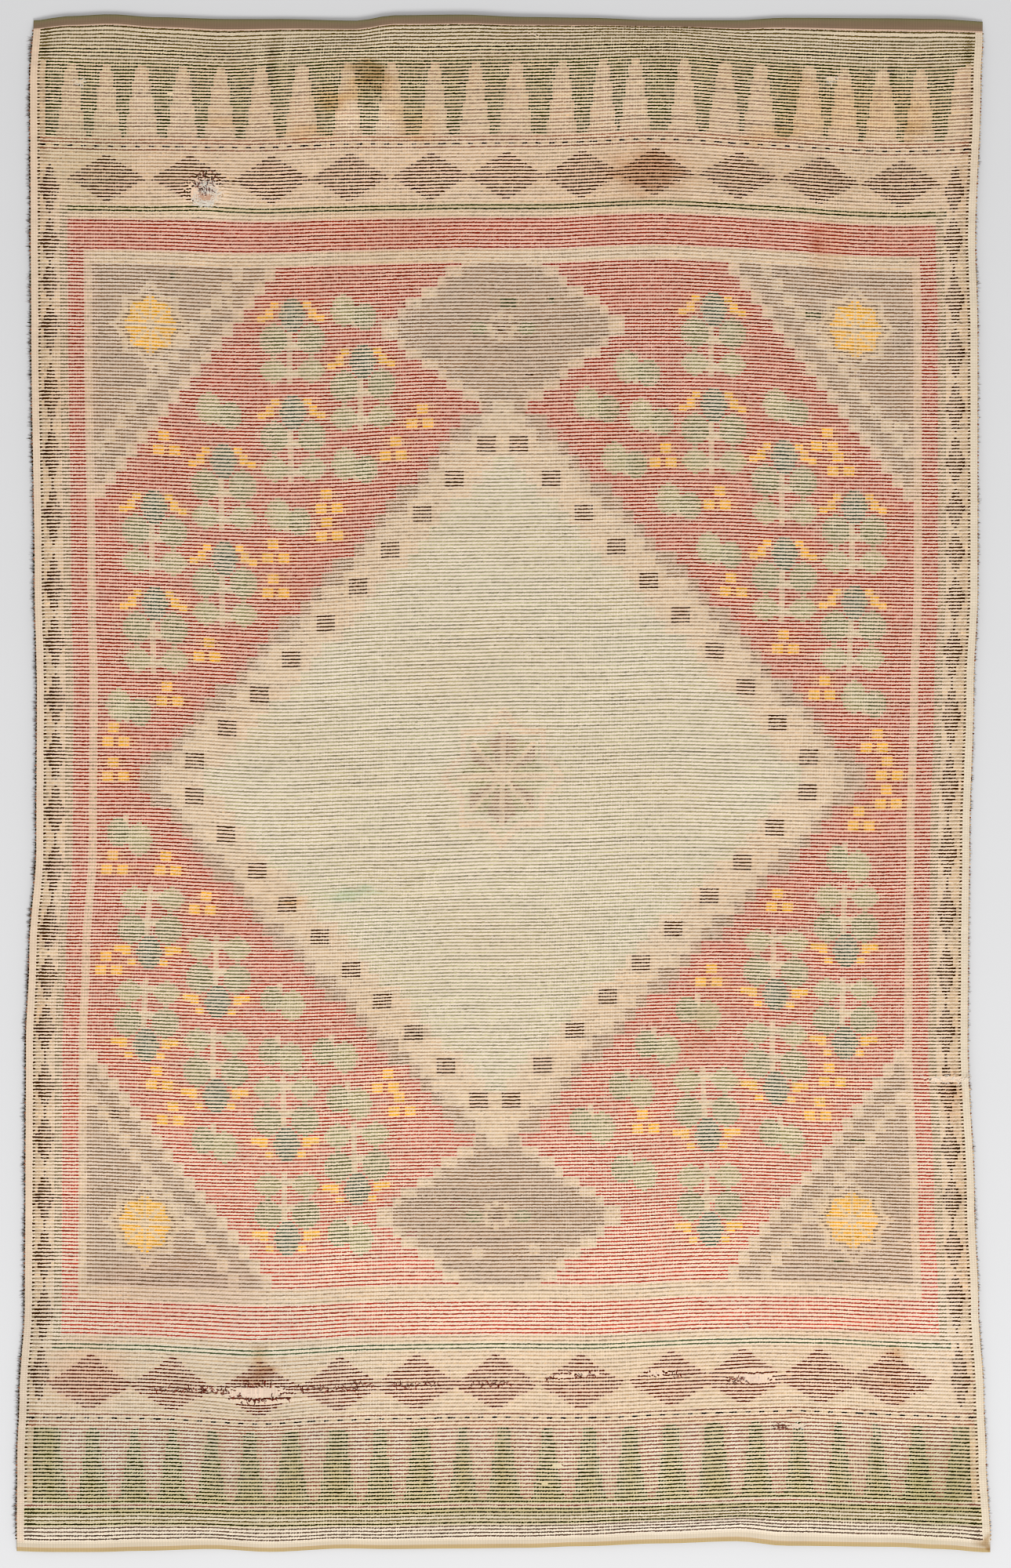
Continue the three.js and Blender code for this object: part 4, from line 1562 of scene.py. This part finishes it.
def rim_locks(tree):
    """Locks of pile that show under the cloth's edge all round, in three layers."""
    dice = np.random.default_rng(91)
    for seed, rim in enumerate(RIM_SIDES):
        side = rim["side"]
        count = int((RUG_LENGTH if side in LONG_SIDES else MEAN_WIDTH) / RIM["pitch"])
        beds = []
        for layer, share in enumerate(RIM["layers"]):
            inset = rim["inset"] + RIM["layer_step"] * layer
            ragged = dice.uniform(-RIM["ragged"], RIM["ragged"], count)
            across, down = rim_places(side, count, inset + ragged)
            x, y = plan(across, down)
            if side in LONG_SIDES:
                x = clouded(x, "rim reach", x, y)
            z = (underside(x, y, across, down) - GAP - RIM["under"]) * share
            heading = rim["heading"] + dice.normal(0, RIM["turn"], count)
            beds.append((x, y, np.maximum(z, RIM["lowest"]), heading))
        x, y, z, heading = (np.concatenate(part) for part in zip(*beds))
        reach = rim["inset"] + rim["reach"]
        lean = leaning((z - RIM["tips"]) / reach, RIM["most_lean"])
        colours = picked_yarns(rim["yarns"], len(x), dice)
        name = side + "_rim_locks"
        bed = tuft_bed(name, x, y, z, heading, lean, colours)
        sizes = planted_sizes(reach, RIM["width"], RIM["height"], RIM["spread"], seed)
        grown(name, bed, tree, sizes, "wool_pile", PILE_WOOL)


# Single ends of yarn past the selvedges: how many, how long, and how far in they root
FUZZ_SIDES = table(
    "count length inset",
    (3400, 15, 8.5),
    (2000, 11.5, 7.5),
)
FUZZ = {
    "ragged": 1, "roots": (1.6, 6.2), "tips": 0.8, "slack": 1.3, "most_lean": 0.5, "turn": 26,
    "width": 1.5, "height": 1.3, "spread": 0.3,
}


def edge_fuzz(tree):
    """Single ends of yarn that stand out past the selvedges."""
    dice = np.random.default_rng(95)
    for rim, fuzz in zip(RIM_SIDES, FUZZ_SIDES):
        side, count, length = rim["side"], fuzz["count"], fuzz["length"]
        ragged = dice.uniform(-FUZZ["ragged"], FUZZ["ragged"], count)
        across, down = rim_places(side, count, fuzz["inset"] + ragged)
        x, y = plan(across, down)
        x = clouded(x, "rim reach", x, y)
        z = dice.uniform(*FUZZ["roots"], count)
        heading = rim["heading"] + dice.normal(0, FUZZ["turn"], count)
        lean = leaning((z - FUZZ["tips"]) / length / FUZZ["slack"], FUZZ["most_lean"])
        colours = picked_yarns(rim["yarns"], count, dice)
        name = side + "_edge_fuzz"
        bed = tuft_bed(name, x, y, z, heading, lean, colours)
        sizes = planted_sizes(length, FUZZ["width"], FUZZ["height"], FUZZ["spread"], 7)
        grown(name, bed, tree, sizes, "wool_pile", PILE_WOOL)


# The turns of yarn on each selvedge's outermost thread, how far out they stand and their yarns
STITCHES = table(
    "side across out yarns",
    ("left", 0.0, -0.4, ("dark brown", "rust", "deep moss")),
    ("right", 1.0, 0.4, ("rust", "cream", "cream", "cream")),
)
STITCH = {"length": 3.2, "width": 2.4, "height": 1.8, "spread": 0.3, "seat": 0.9, "slant": (0.2, 0.5)}


def edge_stitches():
    """The turns of dyed yarn that show on the outermost thread, one at each row."""
    dice = np.random.default_rng(97)
    tree = knot_tree(KNOTTED_WOOL)
    own = [STITCH[name] for name in ("length", "width", "height", "spread")]
    for stitches in STITCHES:
        down = down_of(np.arange(ROWS))
        across = np.full(ROWS, stitches["across"])
        x, y = cloth_at(across, down)
        z = underside(x, y, across, down) + STITCH["seat"]
        level = np.zeros(ROWS)
        turns = np.stack([level, level, dice.normal(*STITCH["slant"], ROWS)], axis=-1)
        colours = picked_yarns(stitches["yarns"], ROWS, dice)
        name = stitches["side"] + "_edge_stitches"
        bed = seedbed_of(name, placed(x + stitches["out"], y, z), turns, colours)
        grown(name, bed, tree, planted_sizes(*own, 9), "woven_back", KNOTTED_WOOL)


# Frayed strands: how many, how long, how thick, how pale and of which yarns, and the spots
# that they spring from, each by its middle, half length and half width
FRAYED = table(
    "name count length thickness paleness yarns spots",
    (
        "frayed_hole_threads", 260, (4, 10), 0.9, 0.92, ("cream",),
        ((-504, 1021, 13, 11), (-488, 1007, 4, 9), (-524, 1004, 3, 7), (-507, 993, 14, 3)),
    ),
    (
        "torn_hole_yarn", 60, (4, 10), 1.4, 0.0, ("dark brown", "maroon", "rose"),
        ((-506, 1037, 20, 8), (-507, 1021, 16, 9)),
    ),
    (
        "loose_end_threads", 80, (4, 12), 0.8, 0.8, ("cream",),
        ((561, 1206, 9, 4), (-722, 1201, 8, 4), (506, -1099, 10, 3), (765, -505, 40, 3)),
    ),
    (
        "torn_mend_yarn", 340, (3, 8), 1.3, 0.0, ("maroon", "red", "rose"),
        (
            (-421, -1027, 32, 3), (-424, -1055, 22, 2.5), (-380, -1050, 20, 2), (-459, -1044, 10, 1.4),
            (-552, -1035, 48, 0.9), (-493, -1038, 20, 1.8), (-236, -1028, 20, 1.8), (403, -1020, 15, 2.5),
            (-300, -1035, 55, 1.2), (478, -1100, 14, 1.2), (128, -1010, 9, 2), (155, -1010, 8, 2),
            (84, -1017, 7, 1.5), (300, -1011, 8, 1.4), (-149, -1028, 40, 0.8), (-20, -1027, 34, 0.8),
        ),
    ),
)
BLEACHED = (248, 240, 228)

# How far aside of a spot's middle line strands root, as a share of its half width
FRAY_SCATTER = 0.5
LOOP = {"curl": 1.7, "rise": (0.6, 2.6), "sunk": 0.3}

# Mending threads: the opening that they cross, by its middle, half length and half width
MENDS = table(
    "x y long wide count",
    (-419, -1041, 54, 10.5, 84),
    (431, -1016, 30, 8, 44),
    (506, -1099, 13, 5, 16),
    (100, -1013, 11, 3.2, 10),
    (266, -1009, 18, 3.2, 16),
)

# How those threads lie, in millimetres, with the share of an opening that each crosses
MEND = {
    "colour": (234, 208, 190), "thickness": 0.8, "taper": 1.6, "least": 0.15, "stray": 1.3,
    "length": (0.45, 1.15), "slant": 1.4, "rise": (0.1, 0.6), "sunk": 0.25,
}
MEND_TONE = {"spread": 0.14, "darkest": 0.6, "palest": 1.2}
STRAND_POINTS = 6


def surface_at(x, y):
    """The height of the cloth's top at a place well inside its edges."""
    return rippled(x, y) + CLOTH["knotted"]


def path_bed(name, paths, colours):
    """Paths of a few points each, as the edges of one mesh."""
    count, points = paths.shape[:2]
    start = (np.arange(count)[:, None] * points + np.arange(points - 1)).ravel()
    edges = np.stack([start, start + 1], axis=-1)
    mesh = bpy.data.meshes.new(name)
    mesh.from_pydata(paths.reshape(-1, 3).tolist(), edges.tolist(), [])
    dye(mesh, np.repeat(colours, points, axis=0))
    return mesh


def looped_paths(x, y, length, dice):
    """Strands that leave the cloth, curl over and come back to it."""
    share = np.linspace(0, 1, STRAND_POINTS)[None, :]
    heading = dice.uniform(0, 2 * math.pi, (len(x), 1))
    angle = heading + dice.normal(0, LOOP["curl"], (len(x), 1)) * share
    step = length[:, None] / (STRAND_POINTS - 1)
    px = x[:, None] + np.cumsum(step * np.cos(angle), axis=1)
    py = y[:, None] + np.cumsum(step * np.sin(angle), axis=1)
    rise = dice.uniform(*LOOP["rise"], (len(x), 1)) * np.sin(math.pi * share)
    points = placed(px, py, surface_at(px, py) + rise - LOOP["sunk"])
    return points.reshape(len(x), STRAND_POINTS, 3)


def frayed_strands(tree):
    """Loops and ends of broken thread at the worn places."""
    for seed, frayed in enumerate(FRAYED):
        dice = np.random.default_rng(101 + seed)
        spots = np.array(frayed["spots"])
        share = spots[:, 2] / spots[:, 2].sum()
        spot = spots[dice.choice(len(spots), frayed["count"], p=share)]
        x = spot[:, 0] + spot[:, 2] * dice.uniform(-1, 1, len(spot))
        y = spot[:, 1] + spot[:, 3] * dice.normal(0, FRAY_SCATTER, len(spot))
        length = dice.uniform(*frayed["length"], len(spot))
        colours = picked_yarns(frayed["yarns"], len(spot), dice)
        colours = colours + (linear(BLEACHED) - colours) * frayed["paleness"]
        bed = path_bed(frayed["name"], looped_paths(x, y, length, dice), colours)
        sizes = {"Thickness": frayed["thickness"] * MM}
        grown(frayed["name"], bed, tree, sizes, "woven_back", FRAYED_WOOL)


def mending_threads(tree):
    """Pale threads drawn across the openings to hold their edges together."""
    dice = np.random.default_rng(111)
    paths = []
    for mend in MENDS:
        count = mend["count"]
        x = mend["x"] + mend["long"] * dice.uniform(-1, 1, count)
        out = np.abs(x - mend["x"]) / mend["long"]
        half = mend["wide"] * np.clip(1 - out ** MEND["taper"], MEND["least"], 1)
        share = np.linspace(-1, 1, STRAND_POINTS)[None, :]
        strayed = mend["y"] + dice.normal(0, MEND["stray"], (count, 1))
        py = strayed + (half * dice.uniform(*MEND["length"], count))[:, None] * share
        px = x[:, None] + dice.normal(0, MEND["slant"], (count, 1)) * share
        rise = dice.uniform(*MEND["rise"], (count, 1)) * (1 - share**2)
        points = placed(px, py, surface_at(px, py) - MEND["sunk"] + rise)
        paths.append(points.reshape(count, STRAND_POINTS, 3))
    paths = np.concatenate(paths)
    tone = dice.normal(1, MEND_TONE["spread"], (len(paths), 1))
    tone = np.clip(tone, MEND_TONE["darkest"], MEND_TONE["palest"])
    colours = np.clip(linear(MEND["colour"]) * tone, 0, 1)
    bed = path_bed("mending_threads", paths, colours)
    sizes = {"Thickness": MEND["thickness"] * MM}
    return grown("mending_threads", bed, tree, sizes, "woven_back", FRAYED_WOOL)


# The felted pad: its middle, half sizes, height, and its mesh from the rim inwards
PAD = {"x": -508, "y": 1004, "long": 17, "wide": 8, "height": 1.3, "sunk": 0.5}
PAD_RINGS = np.linspace(1, 0.06, 7)
PAD_SPOKES = 28
PAD_COLOUR = (200, 160, 134)
PAD_LOBES = table("count depth start", (3, 0.1, 1), (7, 0.07, 0))


def felted_patch():
    """The brown felted wool in the lower half of the hole, a low uneven pad."""
    ring, spoke = np.meshgrid(PAD_RINGS, np.arange(PAD_SPOKES), indexing="ij")
    angle = 2 * math.pi * spoke / PAD_SPOKES
    wobble = 1
    for lobe in PAD_LOBES:
        wobble = wobble + lobe["depth"] * np.sin(lobe["count"] * angle + lobe["start"])
    x = PAD["x"] + PAD["long"] * ring * wobble * np.cos(angle)
    y = PAD["y"] + PAD["wide"] * ring * wobble * np.sin(angle)
    height = clouded(PAD["height"] * np.sqrt(1 - ring**2), "pad height", x, y)
    points = placed(x, y, surface_at(x, y) - PAD["sunk"] + height)
    index = np.arange(ring.size).reshape(ring.shape)
    after = np.roll(index, -1, axis=1)
    faces = np.stack([index[:-1], after[:-1], after[1:], index[1:]], axis=-1).reshape(-1, 4).tolist()
    faces.append(index[-1].tolist())
    faces.append(index[0][::-1].tolist())
    mesh = bpy.data.meshes.new("felted_patch")
    mesh.from_pydata(points.tolist(), [], faces)
    mesh.shade_smooth()
    dye(mesh, linear(PAD_COLOUR) * clouded(1, "pad tone", x, y)[..., None])
    map_from_above(mesh)
    return new_piece("felted_patch", mesh, "woven_back", FRAYED_WOOL)


cloth = woven_ground()
knots = knot_backs()
mat = pile_mat()
tufts = tuft_tree(PILE_WOOL)
pile_tufts(tufts)
rim_locks(tufts)
edge_fuzz(tufts)
edge_stitches()
strands = strand_tree(FRAYED_WOOL)
frayed_strands(strands)
mending_threads(strands)
felted_patch()

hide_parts("ground")

# The floor, the light and the camera straight above
FLOOR = {"size": 30, "colour": (213, 213, 214), "roughness": 0.7, "cloud": 400}
FLOOR_TONE = (0.985, 1.015)
AIR_LIGHT = 0.68
WINDOW = {"place": (1.2, -6.6, 7.0), "size": 4.0, "power": 620}
FRAME_HEIGHT = 2688
FRAME_MIDDLE_X = 6
CAMERA_HEIGHT = 6.0
CAMERA_REACH = 100
SENSOR = 36.0


def pale_floor():
    finish, tree, shader = new_finish("pale floor", FLOOR["roughness"], 0.0)
    shade = toned(tree, fibres(tree, FLOOR["cloud"], detail=2.0), *FLOOR_TONE)
    floor_colour = add(tree, "ShaderNodeRGB")
    floor_colour.outputs[0].default_value = (*linear(FLOOR["colour"]), 1)
    tree.links.new(tinted(tree, floor_colour.outputs[0], shade), shader.inputs["Base Color"])
    half = FLOOR["size"] / 2
    mesh = bpy.data.meshes.new("floor")
    corners = [(-half, -half, 0), (half, -half, 0), (half, half, 0), (-half, half, 0)]
    mesh.from_pydata(corners, [], [(0, 1, 2, 3)])
    mesh.materials.append(finish)
    floor = bpy.data.objects.new("floor", mesh)
    bpy.context.scene.collection.objects.link(floor)


def soft_light(name, place, size, power):
    """A large square light that faces the rug's middle."""
    lamp = bpy.data.lights.new(name, "AREA")
    lamp.size = size
    lamp.energy = power
    light = bpy.data.objects.new(name, lamp)
    light.location = place
    away = light.location.normalized()
    light.rotation_euler = away.to_track_quat("Z", "Y").to_euler()
    bpy.context.scene.collection.objects.link(light)


def studio():
    world = bpy.data.worlds.new("studio air")
    world.use_nodes = True
    world.node_tree.nodes["Background"].inputs["Color"].default_value = (1, 1, 1, 1)
    world.node_tree.nodes["Background"].inputs["Strength"].default_value = AIR_LIGHT
    bpy.context.scene.world = world
    soft_light("window from the lower right", **WINDOW)
    bpy.context.scene.cycles.pixel_filter_type = "BOX"
    bpy.context.scene.cycles.filter_width = 1.0
    bpy.context.scene.view_settings.view_transform = "Standard"


def camera_above():
    lens = bpy.data.cameras.new("camera")
    lens.sensor_width = SENSOR
    lens.lens = SENSOR * CAMERA_HEIGHT / (FRAME_HEIGHT * MM)
    lens.clip_end = CAMERA_REACH
    camera = bpy.data.objects.new("camera", lens)
    camera.location = ((FRAME_MIDDLE_X + SHIFT_X) * MM, SHIFT_Y * MM, CAMERA_HEIGHT)
    bpy.context.scene.collection.objects.link(camera)
    bpy.context.scene.camera = camera


pale_floor()
studio()
camera_above()
